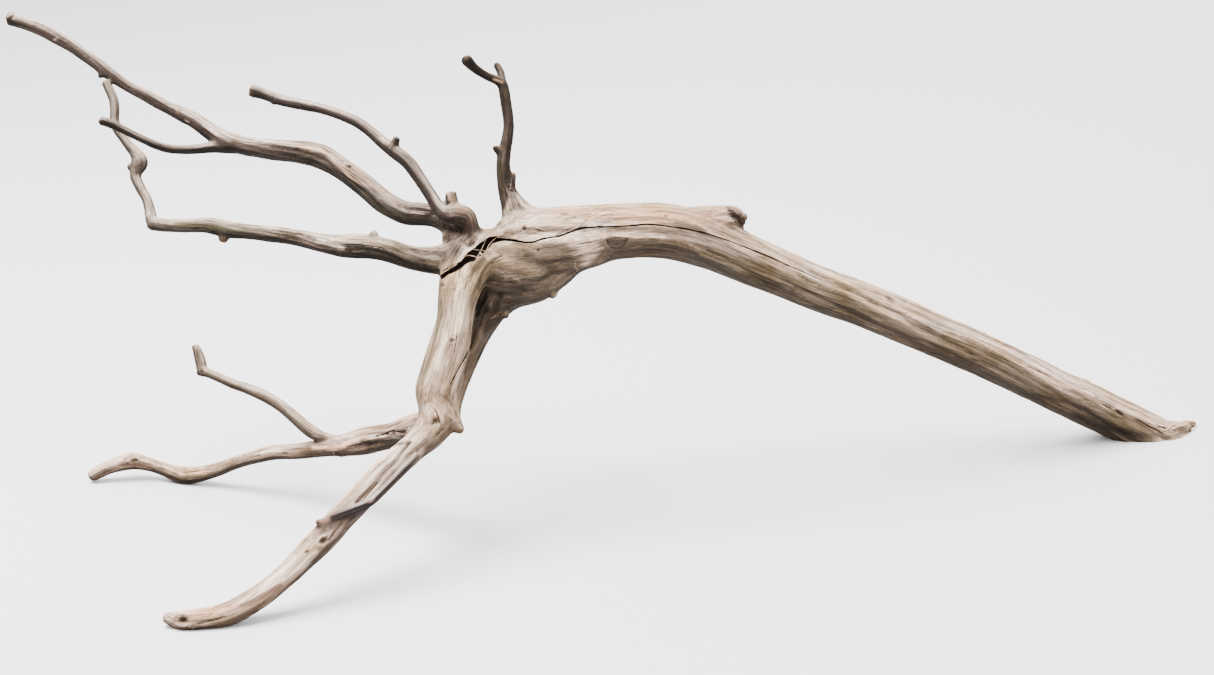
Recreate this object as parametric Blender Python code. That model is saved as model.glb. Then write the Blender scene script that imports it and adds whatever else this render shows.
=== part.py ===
"""A weathered branch of driftwood, about a metre long, standing on three points.

A long straight trunk rises from its sawn-off looking end to a thick hub. Two bent limbs and a thin
curled one leave the hub to the upper left, a short upright twig stands on top of it, and two thighs
under it fuse at an ankle, from which a front leg and a back leg reach the ground. A drying crack opens
as a gash across the hub and runs on along the trunk.

The wood is laid out on an upright board that faces an eye raised EYE_ELEVATION above the ground, in
millimetres on the board: across to the right, up, and away behind it. Radii are as the eye sees them.
The model is in metres, +Z up, with X along the trunk and the origin on the ground under the middle.
"""
import math
from dataclasses import dataclass

import bmesh
import bpy
import numpy as np
from mathutils import Vector
from mathutils.bvhtree import BVHTree

MM = 0.001
EYE_ELEVATION = math.radians(20.0)
EYE_DISTANCE = 1800.0
BOARD_AT = (-17.6, -14.3, 165.0)

VOXEL = 1.6
FILLET_ROUNDS = 18
GROWTH = 0.75
RING_STEP = 3.0
TRIANGLES = 9600
CRACK_DEPTH = 11.0
WOOD_COLOR = (0.40, 0.33, 0.27, 1.0)


@dataclass(frozen=True)
class Limb:
    """One tapering run of wood.

    Attributes:
        name: What the run is.
        stations: Rows of across, up, away and radius, from the root to the tip.
        deep: Thickness along the sight over thickness across it.
        blunt: How far the tip bulges past its last station, over its radius.
        flutes: How many ribs run lengthwise.
        relief: Height of the ribs over the radius.
        twist: Turns of the ribs over the length of the run.
    """

    name: str
    stations: tuple
    deep: float = 1.0
    blunt: float = 0.6
    flutes: int = 5
    relief: float = 0.0
    twist: float = 0.2


TRUNK = Limb(
    "trunk",
    (
        (-98, 70, -2, 14), (-86, 70, 0, 17.5), (-75, 73, 2, 24), (-62, 74.5, 4, 27), (-50, 75.5, 5, 27.5),
        (-20, 79.5, 9, 25), (0, 83.5, 15, 22),
        (20, 85, 22, 21), (40, 85.5, 30, 21), (60, 83, 40, 20.8), (80, 76.7, 51, 19.8), (100, 68.7, 62, 19.1),
        (120, 59.7, 73, 18.5), (140, 51.2, 83, 17.7), (160, 42.5, 94, 17.1), (180, 35, 104, 17.3),
        (200, 28, 115, 17.1), (220, 20, 124, 17.3), (240, 11.7, 134, 16.9), (260, 2.8, 144, 16.4),
        (280, -5.1, 154, 16.4), (300, -13.7, 165, 16.2), (320, -22.8, 176, 16.1), (340, -32.5, 188, 16.2),
        (360, -42.7, 200, 16), (380, -51.6, 213, 16.6), (400, -61.2, 226, 16.1), (420, -71.3, 237, 16.4),
        (440, -81.6, 245, 16.3), (462, -94, 253, 15),
    ),
    flutes=7, relief=0.05, twist=0.35,
)
STUMP = Limb(
    "stump on the trunk",
    ((46, 88, 34, 14), (72, 92, 44, 12.4), (90, 94.8, 52, 10.6), (101, 95.4, 58, 9.4), (107.5, 92.4, 61, 7)),
    blunt=0.25, flutes=5, relief=0.08,
)
BELLY = Limb(
    "belly under the hub",
    ((12, 77, 14, 11), (-8, 72, 10, 11.6), (-24, 65.3, 6, 12), (-40, 54.3, 6, 13.8), (-55, 46.5, 9, 16.4),
     (-72, 42, 15, 17)),
    flutes=6, relief=0.06,
)
HUB = (
    Limb("hub over the thighs", ((-118, 62, -10, 15), (-106, 68, -6, 18), (-86, 62, 0, 24), (-64, 64, 6, 27)),
         flutes=6, relief=0.05),
    Limb("hub under the curl", ((-132, 80.5, 0, 4.6), (-122, 80, 0, 10), (-108, 75, -4, 12), (-92, 73, -2, 13)), flutes=0),
    Limb("web between the thighs", ((-88, 56, 8, 17), (-96, 38, 12, 15), (-103, 22, 12, 12.5),
                                    (-108, 4, 6, 11), (-116, -14, -6, 10)), flutes=0),
)
LIMB_A = Limb(
    "upper limb",
    (
        (-112, 84, 0, 12), (-125, 93, 4, 10.5), (-140, 97.7, 8, 8.4), (-150, 99, 11, 8.9), (-160, 99.6, 15, 8.9),
        (-170, 103.8, 18, 8.6), (-180, 109.8, 22, 8.7), (-190, 118.4, 26, 8.5), (-200, 126.3, 30, 8.4),
        (-210, 133, 34, 8.2), (-220, 139.5, 38, 8.6), (-230, 144.5, 42, 9.2), (-240, 147, 45, 8.9),
        (-250, 148.3, 48, 8.2), (-260, 149.5, 51, 8), (-270, 150.6, 53, 7.8), (-280, 152.2, 56, 7.2),
        (-290, 153.6, 58, 7), (-300, 156, 60, 7.2), (-310, 160.4, 62, 6.8), (-320, 167, 64, 6.1),
        (-330, 173.6, 66, 5.6), (-340, 178.4, 67, 5.3), (-350, 183.2, 69, 4.4), (-360, 188.4, 71, 4.5),
        (-370, 194, 72, 4.2), (-380, 199, 74, 3.9), (-390, 205.1, 75, 4), (-400, 212.6, 76, 4.6),
        (-410, 220.5, 78, 4.4), (-420, 227.2, 79, 4.2), (-430, 234.4, 80, 4.6), (-440, 240, 81, 4.8),
        (-450, 245.5, 82, 4.7), (-460, 249.8, 83, 4.7), (-470, 253.2, 84, 4.8), (-478.3, 255.6, 85, 5),
    ),
    blunt=0.35, flutes=5, relief=0.07, twist=0.5,
)
LIMB_B = Limb(
    "middle limb",
    (
        (-112, 64, -8, 14), (-125, 62.6, -9, 13.2), (-133, 62.2, -9, 11.6), (-140, 62, -8, 10.4),
        (-150, 62.8, -7, 9.2), (-160, 64.8, -5, 8.6), (-170, 68.3, -3, 8.7), (-180, 70.8, -2, 8.6),
        (-190, 72, 0, 8.9), (-200, 72.9, 2, 9.5), (-210, 72.8, 4, 8.7), (-220, 74, 7, 7.6), (-230, 75.8, 9, 6.8),
        (-240, 78.3, 11, 6.5), (-250, 80.3, 13, 5.9), (-260, 82, 15, 6), (-270, 83, 18, 6), (-280, 84.2, 20, 5.6),
        (-290, 85, 23, 5.5), (-300, 85.8, 25, 6), (-310, 87.8, 28, 6.1), (-320, 89.5, 30, 5.5),
        (-330, 89.4, 34, 5.1), (-340, 89.3, 38, 4.8), (-350, 89.7, 42, 4.7), (-360, 90.6, 46, 4.8),
        (-365, 91, 48, 4.6),
    ),
    blunt=0.5, flutes=5, relief=0.07, twist=0.4,
)
LIMB_B_RISE = Limb(
    "end of the middle limb",
    (
        (-363.5, 90, 47, 4), (-364.6, 95, 48, 4.2), (-365.5, 100, 50, 4), (-368, 110, 52, 3.5),
        (-373.5, 120, 55, 3.6), (-377.5, 130, 58, 4), (-373.6, 140.5, 60, 6), (-377.6, 148, 61, 4.2),
        (-382, 153, 61, 3.5), (-387, 160, 62, 3.3), (-392.5, 168, 63, 3.3), (-394, 175, 64, 3.3),
        (-393.8, 182, 65, 3.3), (-394.7, 190, 67, 3.2), (-398.6, 199, 69, 3), (-401, 203.6, 70, 2.6),
    ),
    flutes=0,
)
LIMB_C = Limb(
    "thin curled limb",
    (
        (-106, 76, -8, 8), (-109.5, 88, -12, 6.6), (-113, 96.5, -16, 7.6), (-120, 98.6, -18, 8),
        (-128, 98.5, -18, 6.4), (-134.5, 103.4, -17, 5.2), (-140, 112, -15, 4.7), (-150, 127.5, -12, 4.8),
        (-160, 141, -8, 5.1), (-170, 148.6, -3, 5), (-180, 156.4, 2, 4.4), (-190, 165.2, 6, 3.9),
        (-200, 172.3, 10, 3.8), (-210, 176.8, 14, 3.6), (-220, 180.5, 18, 3.5), (-230, 183.3, 22, 3.4),
        (-240, 185.4, 25, 3.7), (-250, 187.5, 28, 3.9), (-260, 189.6, 32, 3.9), (-270, 193, 36, 3.9),
        (-279, 196.2, 39, 4.4), (-284.4, 197.4, 40, 4.8),
    ),
    blunt=0.2, flutes=0,
)
TWIG_D = Limb(
    "upright twig",
    (
        (-72, 84, 4, 12), (-74, 96, 5, 9.3), (-76.8, 107, 6, 8), (-80, 117, 7, 6.8), (-82, 126, 8, 5.7),
        (-83, 138, 10, 5.2), (-81.6, 150, 13, 4.6), (-79.6, 160, 16, 4.1), (-78.6, 170, 19, 3.8),
        (-79.6, 180, 22, 3.9), (-81.2, 190, 25, 3.9), (-82.2, 197, 28, 3.9), (-84, 203, 29, 3.6),
        (-89.5, 206.4, 27, 3), (-95, 208.6, 25, 2.8), (-101, 212, 22, 2.9), (-107, 216.4, 18, 3.3),
        (-112.3, 222, 14, 4.2),
    ),
    flutes=0, blunt=0.8,
)
FRONT_THIGH = Limb(
    "front thigh",
    (
        (-106, 66, -13, 19), (-112, 56, -16, 19), (-117, 43, -20, 17.2), (-120, 30, -22, 14.9),
        (-121.7, 15, -24, 14), (-124.7, 0, -26, 15.2), (-128.5, -15, -27, 15.8), (-133.2, -30, -29, 15.8),
        (-136.6, -43, -32, 15.8), (-136.4, -55, -35, 13.8), (-136, -66, -38, 14.5), (-142, -76, -43, 12.6),
        (-153.5, -87.5, -50, 9.6),
    ),
    flutes=6, relief=0.06, twist=0.15,
)
BACK_THIGH = Limb(
    "back thigh",
    (
        (-58, 54, 10, 18), (-75, 42, 17, 16.8), (-90.5, 26, 20, 13), (-100, 12, 16, 11.4), (-107.5, -5, 8, 9.6),
        (-115, -22, -3, 9.4), (-121.5, -38, -16, 9.8), (-126.5, -52, -26, 10.2), (-130, -64, -34, 12),
    ),
    deep=1.15, flutes=5, relief=0.06, twist=0.2,
)
FRONT_LEG = Limb(
    "front leg",
    (
        (-135, -62, -37, 13), (-142, -76, -43, 12.8), (-153.8, -87, -50, 10.8), (-164.2, -96, -54, 10.6),
        (-174.2, -104.8, -60, 10.8), (-184, -114.2, -65, 10.6), (-193.2, -124.2, -70, 10.5), (-202.8, -134.4, -75, 10.6),
        (-213, -145, -80, 10.2), (-222.3, -155.6, -85, 10.7), (-232.7, -166.2, -90, 10.4),
        (-243.4, -176.5, -95, 9.6), (-253, -186, -99, 9.2), (-263.5, -195.5, -102, 8.9),
        (-274, -204.5, -105, 9.2), (-284.5, -211.5, -108, 9.5), (-295.5, -218, -110, 9.3),
        (-307.5, -222.8, -112, 9.1), (-319.5, -224.9, -114, 8.3), (-330.5, -225.8, -115, 8.2),
        (-340, -226.6, -115, 7.7), (-347, -225.2, -115, 5.9), (-352.6, -224.6, -115, 3.8),
    ),
    blunt=0.7, flutes=5, relief=0.05, twist=0.4,
)
BACK_LEG = Limb(
    "back leg",
    (
        (-128, -64, -30, 11), (-140, -69, -16, 11.4), (-150, -71, -2, 10.8), (-160, -74, 13, 10.4),
        (-170, -77.8, 26, 10), (-180, -79.9, 36, 10), (-190, -82, 44, 10.8), (-200, -84.4, 51, 9.8),
        (-210, -86.3, 57, 8.6), (-220, -87.6, 64, 7.2), (-230, -89, 71, 6.5), (-240, -90.3, 78, 6.2),
        (-250, -91.3, 84, 5.8), (-260, -91.6, 90, 5.5), (-270, -92.4, 96, 5.6), (-280, -94.8, 102, 5.2),
        (-290, -97.6, 109, 4.8), (-300, -101, 116, 4.7), (-310, -105.1, 123, 4.9), (-320, -107.9, 129, 5.5),
        (-330, -109.8, 134, 6.1), (-338, -110.6, 138, 6.8), (-345, -108.9, 139, 5.9), (-351, -106.8, 140, 5),
        (-360, -103.5, 140, 4.5), (-370, -100.6, 140, 5.1), (-380, -98.8, 139, 6.4), (-390, -101, 138, 5.6),
        (-400, -104.5, 138, 4.8), (-407, -108, 138, 4.8), (-411.5, -110.6, 138, 4.2),
    ),
    blunt=0.7, flutes=5, relief=0.06, twist=0.3,
)
BACK_TWIG = Limb(
    "twig on the back leg",
    (
        (-208, -84, 57, 3.6), (-216, -82.4, 60, 3), (-224, -80.4, 63, 3.4), (-231, -78.4, 65, 4.3),
        (-236, -75.6, 67, 4.8), (-241, -72, 69, 4.6), (-250, -64, 73, 4.4), (-260, -55.5, 78, 4.1),
        (-270, -49, 83, 4.2), (-280, -44, 88, 4.1), (-290, -40.2, 93, 3.6), (-300, -36.7, 98, 3.4),
        (-310, -32.3, 102, 3.1), (-320, -28.2, 106, 3.2), (-326.5, -27.2, 108, 3),
    ),
    blunt=0.5, flutes=0,
)
DARK_TWIG = Limb(
    "dark twig over the front leg",
    (
        (-147, -90, -56, 2.4), (-154, -98, -62, 2.8), (-161, -104, -66, 3), (-171.5, -114.3, -70, 3),
        (-181.5, -124, -75, 3.1), (-189, -130.8, -81, 3.3), (-200, -136.4, -87, 3.4), (-210, -140.4, -90, 3.3),
        (-220, -144.6, -92, 3.2), (-227, -147.8, -93, 2.8), (-231.5, -149.4, -93, 3.4),
    ),
    blunt=0.3, flutes=0,
)


def spur(name, base, tip, blunt=0.6):
    """Return a short straight run from a base station to a tip station."""
    return Limb(name, (base, tip), blunt=blunt)


SPURS = (
    Limb("fork of the upper limb",
         ((-298, 153, 60, 5.6), (-312, 152.6, 59, 4.6), (-320, 151.6, 57, 3.8), (-330, 150.5, 54, 3.4),
          (-340, 150.4, 51, 3.3), (-350, 151, 48, 3.1), (-360, 153.7, 45, 3), (-370, 158, 41, 2.7),
          (-380, 162.8, 38, 2.7), (-390, 167.7, 35, 2.8), (-398, 171.4, 32, 3.1), (-404.6, 173.4, 30, 3.1))),
    Limb("buttress of the upright twig",
         ((-79, 120, 6, 4), (-72.5, 107, 6, 6.6), (-63, 96, 6, 9.6), (-49, 87, 7, 13.4))),
    Limb("right arm of the upright twig",
         ((-82.5, 199, 28, 3), (-84, 206, 33, 2.8), (-85.5, 213, 39, 2.5), (-88.4, 218, 43, 2.2))),
    Limb("ankle nub",
         ((-127, -63, -36, 9.5), (-121.5, -70, -38, 6.4), (-116.4, -74.4, -39, 3)), blunt=0.5),
    Limb("elbow of the back twig",
         ((-323.6, -28, 107, 3.2), (-324.7, -21.5, 109, 4), (-326.4, -15, 110, 3.7), (-328.2, -9.4, 111, 3),
          (-329.2, -7, 112, 2.7)), blunt=0.3),
    Limb("ragged end of the trunk",
         ((436, -76, 238, 8), (448, -74.4, 241, 7), (458, -73.2, 245, 5.4), (464.5, -72.8, 249, 3.6))),
    Limb("splintered tip of the trunk",
         ((444, -78, 247, 5), (455, -72.6, 252, 4), (462, -69.6, 255, 2.6), (470, -68.8, 258, 1.6))),
    spur("stub above the curl", (-123, 100, -17, 4.8), (-125, 115, -15, 4.3), 0.4),
    spur("stub in front of the upright twig", (-84.5, 147.5, 12, 3.4), (-90, 152, 9, 1.7)),
    spur("splinter beside the upright twig", (-77, 116, 6, 3), (-74.8, 130.5, 9, 1.7)),
    spur("spur under the upper limb", (-402.5, 212, 76, 3), (-406, 208.8, 75, 1.4)),
    spur("bud on the upper limb", (-342, 180.5, 67, 4), (-343.5, 184.5, 67, 2)),
    spur("spur on the middle limb", (-188, 75, 0, 6), (-186, 84.4, -2, 2.2)),
    spur("stub under the middle limb", (-306, 85, 27, 4.2), (-307, 77, 25, 2.9), 0.4),
    spur("spur on the rising limb", (-374, 139.5, 60, 4), (-382.3, 135.8, 60, 2)),
    spur("spur under the thin limb", (-265, 191, 34, 3), (-267, 187.4, 33, 1.5)),
    spur("bud on the thin limb", (-172, 150.5, -3, 4), (-168.2, 159, -5, 2.4)),
    spur("nub under the belly", (-48, 41, 5, 8), (-42.6, 33.6, 4, 2.8)),
    spur("nub behind the thigh", (-88, 21, 14, 7), (-80.4, 17.8, 10, 2.6)),
    spur("nub under the back leg", (-211, -88, 58, 6), (-213, -94.4, 57, 2)),
    spur("bud on the trunk", (381, -38, 212, 9), (383.5, -34.4, 210, 2.4)),
    spur("bump on the front thigh", (-130, 41, -22, 7), (-133.4, 41.5, -23, 2.4)),
    spur("knuckle on the front leg", (-237, -166, -90, 8), (-243, -165.6, -91, 4.4)),
)
LIMBS = (TRUNK, STUMP, BELLY, *HUB, LIMB_A, LIMB_B, LIMB_B_RISE, LIMB_C, TWIG_D, FRONT_THIGH, BACK_THIGH,
         FRONT_LEG, BACK_LEG, BACK_TWIG, DARK_TWIG, *SPURS)

# The crack as the eye sees it: across, up and width, from the crotch of the middle limb to the trunk.
CRACK = (
    (-135, 47.5, 3.4), (-131, 49.8, 4.6), (-120, 56, 4.4), (-110, 64.5, 6.4), (-104, 69, 6.6), (-97, 74.4, 5.2),
    (-90, 78.8, 4), (-80, 78.4, 2.4), (-70, 76.8, 2), (-61, 76.2, 2), (-50, 79.3, 1.9), (-40, 80.8, 1.8),
    (-30, 84, 1.7), (-22, 87, 1.6), (-10, 88.3, 1.5), (6, 88.8, 1.4), (22, 89.8, 1.2),
)


def to_world(across, up, away):
    """Return the point in millimetres that the eye sees at a place on the board, that far behind it."""
    spread = 1.0 + away / EYE_DISTANCE
    sin_e, cos_e = math.sin(EYE_ELEVATION), math.cos(EYE_ELEVATION)
    return np.array([
        BOARD_AT[0] + spread * across,
        BOARD_AT[1] + spread * up * sin_e + away * cos_e,
        BOARD_AT[2] + spread * up * cos_e - away * sin_e,
    ])


def eye_point():
    """Return where the eye is, in millimetres."""
    return to_world(0.0, 0.0, -EYE_DISTANCE)


def smooth_run(stations, step):
    """Return rows read at even steps from a smooth curve through all the stations."""
    rows = np.array(stations, dtype=float)
    if len(rows) == 2:
        count = max(3, int(np.linalg.norm(rows[1, :3] - rows[0, :3]) / step) + 1)
        return rows[0] + np.linspace(0.0, 1.0, count)[:, None] * (rows[1] - rows[0])
    knots = np.concatenate([[0.0], np.cumsum(np.linalg.norm(np.diff(rows[:, :3], axis=0), axis=1))])
    gaps = np.diff(knots)[:, None]
    slopes = np.diff(rows, axis=0) / gaps
    tangents = np.empty_like(rows)
    tangents[0], tangents[-1] = slopes[0], slopes[-1]
    tangents[1:-1] = (slopes[1:] * gaps[:-1] + slopes[:-1] * gaps[1:]) / (gaps[:-1] + gaps[1:])
    places = np.linspace(0.0, knots[-1], max(4, int(knots[-1] / step) + 1))
    index = np.clip(np.searchsorted(knots, places, side="right") - 1, 0, len(rows) - 2)
    width = (knots[index + 1] - knots[index])[:, None]
    t = ((places - knots[index])[:, None]) / width
    return ((2 * t**3 - 3 * t**2 + 1) * rows[index] + (t**3 - 2 * t**2 + t) * width * tangents[index]
            + (3 * t**2 - 2 * t**3) * rows[index + 1] + (t**3 - t**2) * width * tangents[index + 1])


def sweep(limb):
    """Return the centre line, the radii and the two section directions of a limb, tip included."""
    rows = smooth_run(limb.stations, RING_STEP)
    centres = np.array([to_world(*row[:3]) for row in rows])
    radii = (rows[:, 3] + GROWTH) * (1.0 + rows[:, 2] / EYE_DISTANCE)
    along = np.gradient(centres, axis=0)
    along /= np.linalg.norm(along, axis=1)[:, None]
    heights = np.array([0.45, 0.8, 0.96])
    centres = np.vstack([centres] + [centres[-1] + along[-1] * radii[-1] * limb.blunt * h for h in heights])
    radii = np.concatenate([radii, radii[-1] * np.sqrt(1.0 - heights**2)])
    along = np.vstack([along] + [along[-1:]] * len(heights))
    sight = centres - eye_point()
    sight /= np.linalg.norm(sight, axis=1)[:, None]
    side = np.cross(along, sight)
    side /= np.linalg.norm(side, axis=1)[:, None]
    return centres, radii, side, np.cross(side, along)


def add_tube(bm, limb):
    """Add one limb to a bmesh as a closed tube."""
    centres, radii, side, deep = sweep(limb)
    sides = 28 if radii.max() > 7 else 14
    rings = []
    for k, centre in enumerate(centres):
        ring = []
        for j in range(sides):
            angle = 2 * math.pi * j / sides
            point = (centre + side[k] * (radii[k] * math.cos(angle))
                     + deep[k] * (radii[k] * limb.deep * math.sin(angle)))
            ring.append(bm.verts.new(Vector(point) * MM))
        rings.append(ring)
    for lower, upper in zip(rings, rings[1:]):
        for j in range(sides):
            bm.faces.new((lower[j], lower[(j + 1) % sides], upper[(j + 1) % sides], upper[j]))
    bm.faces.new(rings[0][::-1])
    bm.faces.new(rings[-1])


def survey(points):
    """Return where points in millimetres lie on the wood.

    Returns:
        The radius of the limb whose skin is nearest, the height of its lengthwise ribs there, and how much
        nearer that limb is than the next one.
    """
    best = np.full(len(points), 1e9)
    second = np.full(len(points), 1e9)
    radius = np.zeros(len(points))
    ribs = np.zeros(len(points))
    for number, limb in enumerate(LIMBS):
        centres, radii, side, deep = sweep(limb)
        gap = np.full(len(points), 1e9)
        nearest = np.zeros(len(points), dtype=int)
        for k, centre in enumerate(centres):
            reach = np.linalg.norm(points - centre, axis=1) - radii[k]
            nearer = reach < gap
            gap[nearer] = reach[nearer]
            nearest[nearer] = k
        arm = points - centres[nearest]
        angle = np.arctan2((arm * deep[nearest]).sum(axis=1), (arm * side[nearest]).sum(axis=1))
        turn = limb.flutes * (angle + 2 * math.pi * limb.twist * nearest / len(centres)) + number
        height = limb.relief * radii[nearest] * (0.6 * np.sin(turn) + 0.4 * np.sin(2 * turn + 1.3 + 0.06 * nearest))
        wins = gap < best
        second = np.where(wins, best, np.minimum(second, gap))
        radius = np.where(wins, radii[nearest], radius)
        ribs = np.where(wins, height, ribs)
        best = np.minimum(best, gap)
    return radius, ribs, second - best


def evaluated(obj):
    """Return a copy of an object's mesh with its modifiers applied, and take them off."""
    bpy.context.view_layer.update()
    graph = bpy.context.evaluated_depsgraph_get()
    mesh = bpy.data.meshes.new_from_object(obj.evaluated_get(graph))
    obj.modifiers.clear()
    return mesh


def keep_largest(mesh):
    """Leave only the largest connected surface of a mesh."""
    bm = bmesh.new()
    bm.from_mesh(mesh)
    bm.verts.ensure_lookup_table()
    seen, largest = set(), set()
    for start in bm.verts:
        if start in seen:
            continue
        island, front = {start}, [start]
        while front:
            vert = front.pop()
            for edge in vert.link_edges:
                other = edge.other_vert(vert)
                if other not in island:
                    island.add(other)
                    front.append(other)
        seen |= island
        largest = max(largest, island, key=len)
    bmesh.ops.delete(bm, geom=[v for v in bm.verts if v not in largest], context="VERTS")
    bm.to_mesh(mesh)
    bm.free()


def ease(mesh):
    """Ease the joints between the limbs, more on thick wood than on twigs, and raise the lengthwise ribs."""
    count = len(mesh.vertices)
    points = np.empty(count * 3)
    mesh.vertices.foreach_get("co", points)
    points = points.reshape(-1, 3) / MM
    edges = np.empty(len(mesh.edges) * 2, dtype=int)
    mesh.edges.foreach_get("vertices", edges)
    edges = edges.reshape(-1, 2)
    ends, others = np.concatenate([edges[:, 0], edges[:, 1]]), np.concatenate([edges[:, 1], edges[:, 0]])
    degree = np.bincount(ends, minlength=count)[:, None]
    share = np.clip((survey(points)[0] - 2.5) / 10.0, 0.0, 1.0)[:, None] ** 1.2
    for number in range(FILLET_ROUNDS):
        total = np.stack([np.bincount(ends, points[others, a], count) for a in range(3)], axis=1)
        weight = 0.5 * share if number > 1 else 0.25 + 0.25 * share
        points += (total / degree - points) * weight
    mesh.vertices.foreach_set("co", (points * MM).ravel())
    mesh.update()
    normals = np.empty(count * 3)
    mesh.vertices.foreach_get("normal", normals)
    _, ribs, lead = survey(points)
    points += normals.reshape(-1, 3) * (ribs * np.clip(lead / 5.0, 0.0, 1.0))[:, None]
    mesh.vertices.foreach_set("co", (points * MM).ravel())


def crack_blade(tree):
    """Return the mesh of the wedge that opens the crack, sunk along the sight into the wood."""
    rows = np.array(CRACK, dtype=float)
    eye = Vector(eye_point())
    bm = bmesh.new()
    rings = []
    for k, (across, up, width) in enumerate(rows):
        before, after = rows[max(k - 1, 0)], rows[min(k + 1, len(rows) - 1)]
        run = np.array([after[0] - before[0], after[1] - before[1]])
        run /= np.linalg.norm(run)
        aim = (Vector(to_world(across, up, 0.0)) - eye).normalized()
        hit, _, _, distance = tree.ray_cast(eye * MM, aim)
        if hit is None:
            across, up = across + 3.0, up + 3.0
            aim = (Vector(to_world(across, up, 0.0)) - eye).normalized()
            hit, _, _, distance = tree.ray_cast(eye * MM, aim)
        away = distance / MM * aim.dot((Vector(to_world(0, 0, 0)) - eye).normalized()) - EYE_DISTANCE
        depth = CRACK_DEPTH * min(1.0, 0.25 + width / 5.0)
        half, ring = width / 2, []
        for offset, reach in ((-half, 0.0), (half, 0.0), (0.22 * half, 1.0), (-0.22 * half, 1.0)):
            behind = away - 5.0 if reach == 0.0 else away + depth
            spot = to_world(across - run[1] * offset, up + run[0] * offset, behind)
            ring.append(bm.verts.new(Vector(spot) * MM))
        rings.append(ring)
    for lower, upper in zip(rings, rings[1:]):
        for j in range(4):
            bm.faces.new((lower[j], lower[(j + 1) % 4], upper[(j + 1) % 4], upper[j]))
    bm.faces.new(rings[0][::-1])
    bm.faces.new(rings[-1])
    bmesh.ops.recalc_face_normals(bm, faces=bm.faces)
    mesh = bpy.data.meshes.new("crack_blade")
    bm.to_mesh(mesh)
    bm.free()
    return mesh


def cut_feet(mesh):
    """Cut the wood flat where it meets the ground at z = 0."""
    bm = bmesh.new()
    bm.from_mesh(mesh)
    geometry = bm.verts[:] + bm.edges[:] + bm.faces[:]
    cut = bmesh.ops.bisect_plane(bm, geom=geometry, dist=1e-7, plane_co=(0, 0, 0), plane_no=(0, 0, -1),
                                 clear_outer=True)
    rim = [item for item in cut["geom_cut"] if isinstance(item, bmesh.types.BMEdge)]
    for edge in rim:
        for vert in edge.verts:
            vert.co.z = 0.0
    bmesh.ops.holes_fill(bm, edges=rim, sides=0)
    bmesh.ops.triangulate(bm, faces=bm.faces)
    bmesh.ops.recalc_face_normals(bm, faces=bm.faces)
    bm.to_mesh(mesh)
    bm.free()


def wood_material():
    """Return the bleached wood of the whole branch."""
    material = bpy.data.materials.new("driftwood")
    material.use_nodes = True
    shader = material.node_tree.nodes["Principled BSDF"]
    shader.inputs["Base Color"].default_value = WOOD_COLOR
    shader.inputs["Roughness"].default_value = 0.85
    shader.inputs["Metallic"].default_value = 0.0
    return material


def build():
    """Model the branch as one closed body."""
    for obj in list(bpy.data.objects):
        bpy.data.objects.remove(obj, do_unlink=True)
    bm = bmesh.new()
    for limb in LIMBS:
        add_tube(bm, limb)
    bmesh.ops.triangulate(bm, faces=bm.faces)
    mesh = bpy.data.meshes.new("driftwood")
    bm.to_mesh(mesh)
    bm.free()
    wood = bpy.data.objects.new("driftwood", mesh)
    bpy.context.scene.collection.objects.link(wood)

    grown = wood.modifiers.new("Grow together", "REMESH")
    grown.mode = "VOXEL"
    grown.voxel_size = VOXEL * MM
    grown.adaptivity = 0.0
    wood.data = evaluated(wood)
    keep_largest(wood.data)
    ease(wood.data)

    thin = wood.modifiers.new("Fewer faces", "DECIMATE")
    thin.ratio = TRIANGLES / (2.0 * len(wood.data.polygons))
    thin.use_collapse_triangulate = True
    wood.data = evaluated(wood)

    bpy.context.view_layer.update()
    tree = BVHTree.FromObject(wood, bpy.context.evaluated_depsgraph_get())
    blade = bpy.data.objects.new("crack_blade", crack_blade(tree))
    blade.hide_render = True
    blade.display_type = "WIRE"
    bpy.context.scene.collection.objects.link(blade)
    crack = wood.modifiers.new("Crack", "BOOLEAN")
    crack.operation = "DIFFERENCE"
    crack.solver = "EXACT"
    crack.object = blade
    wood.data = evaluated(wood)
    bpy.data.objects.remove(blade, do_unlink=True)

    cut_feet(wood.data)
    keep_largest(wood.data)
    wood.data.name = "driftwood"
    wood.data.materials.clear()
    wood.data.materials.append(wood_material())
    wood.data.shade_smooth()
    wood.data.set_sharp_from_angle(angle=math.radians(50.0))


build()
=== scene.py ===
"""Dress the driftwood branch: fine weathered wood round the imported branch, a floor, light and a camera.

The branch is laid out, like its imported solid, on an upright board that faces the eye of the photograph.
Rows of stations give each limb in millimetres on that board: across to the right, up, away behind it, and
the radius as the eye sees it. The limbs are grown into one skin, eased where they meet, weathered along
their own grain, split by drying cracks and cut flat where they stand. Every material reads the grain that
runs along the limbs from attributes of the skin.
"""
import logging
import math
from dataclasses import dataclass, field
from enum import Enum

import bmesh
import bpy
import numpy as np
from mathutils import Matrix, Vector
from mathutils.bvhtree import BVHTree


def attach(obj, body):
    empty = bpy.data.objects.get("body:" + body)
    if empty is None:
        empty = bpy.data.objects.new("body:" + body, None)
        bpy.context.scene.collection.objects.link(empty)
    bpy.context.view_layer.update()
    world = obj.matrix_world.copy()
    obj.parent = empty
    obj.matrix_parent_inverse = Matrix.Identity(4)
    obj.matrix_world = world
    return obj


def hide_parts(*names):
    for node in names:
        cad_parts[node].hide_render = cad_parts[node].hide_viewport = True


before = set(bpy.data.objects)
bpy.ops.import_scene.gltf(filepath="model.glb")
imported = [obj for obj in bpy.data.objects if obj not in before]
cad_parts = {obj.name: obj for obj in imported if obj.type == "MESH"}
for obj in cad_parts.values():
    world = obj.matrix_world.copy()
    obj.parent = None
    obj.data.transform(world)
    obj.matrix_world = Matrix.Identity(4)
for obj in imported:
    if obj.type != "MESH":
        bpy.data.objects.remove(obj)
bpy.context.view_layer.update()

LOG = logging.getLogger("driftwood")

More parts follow.
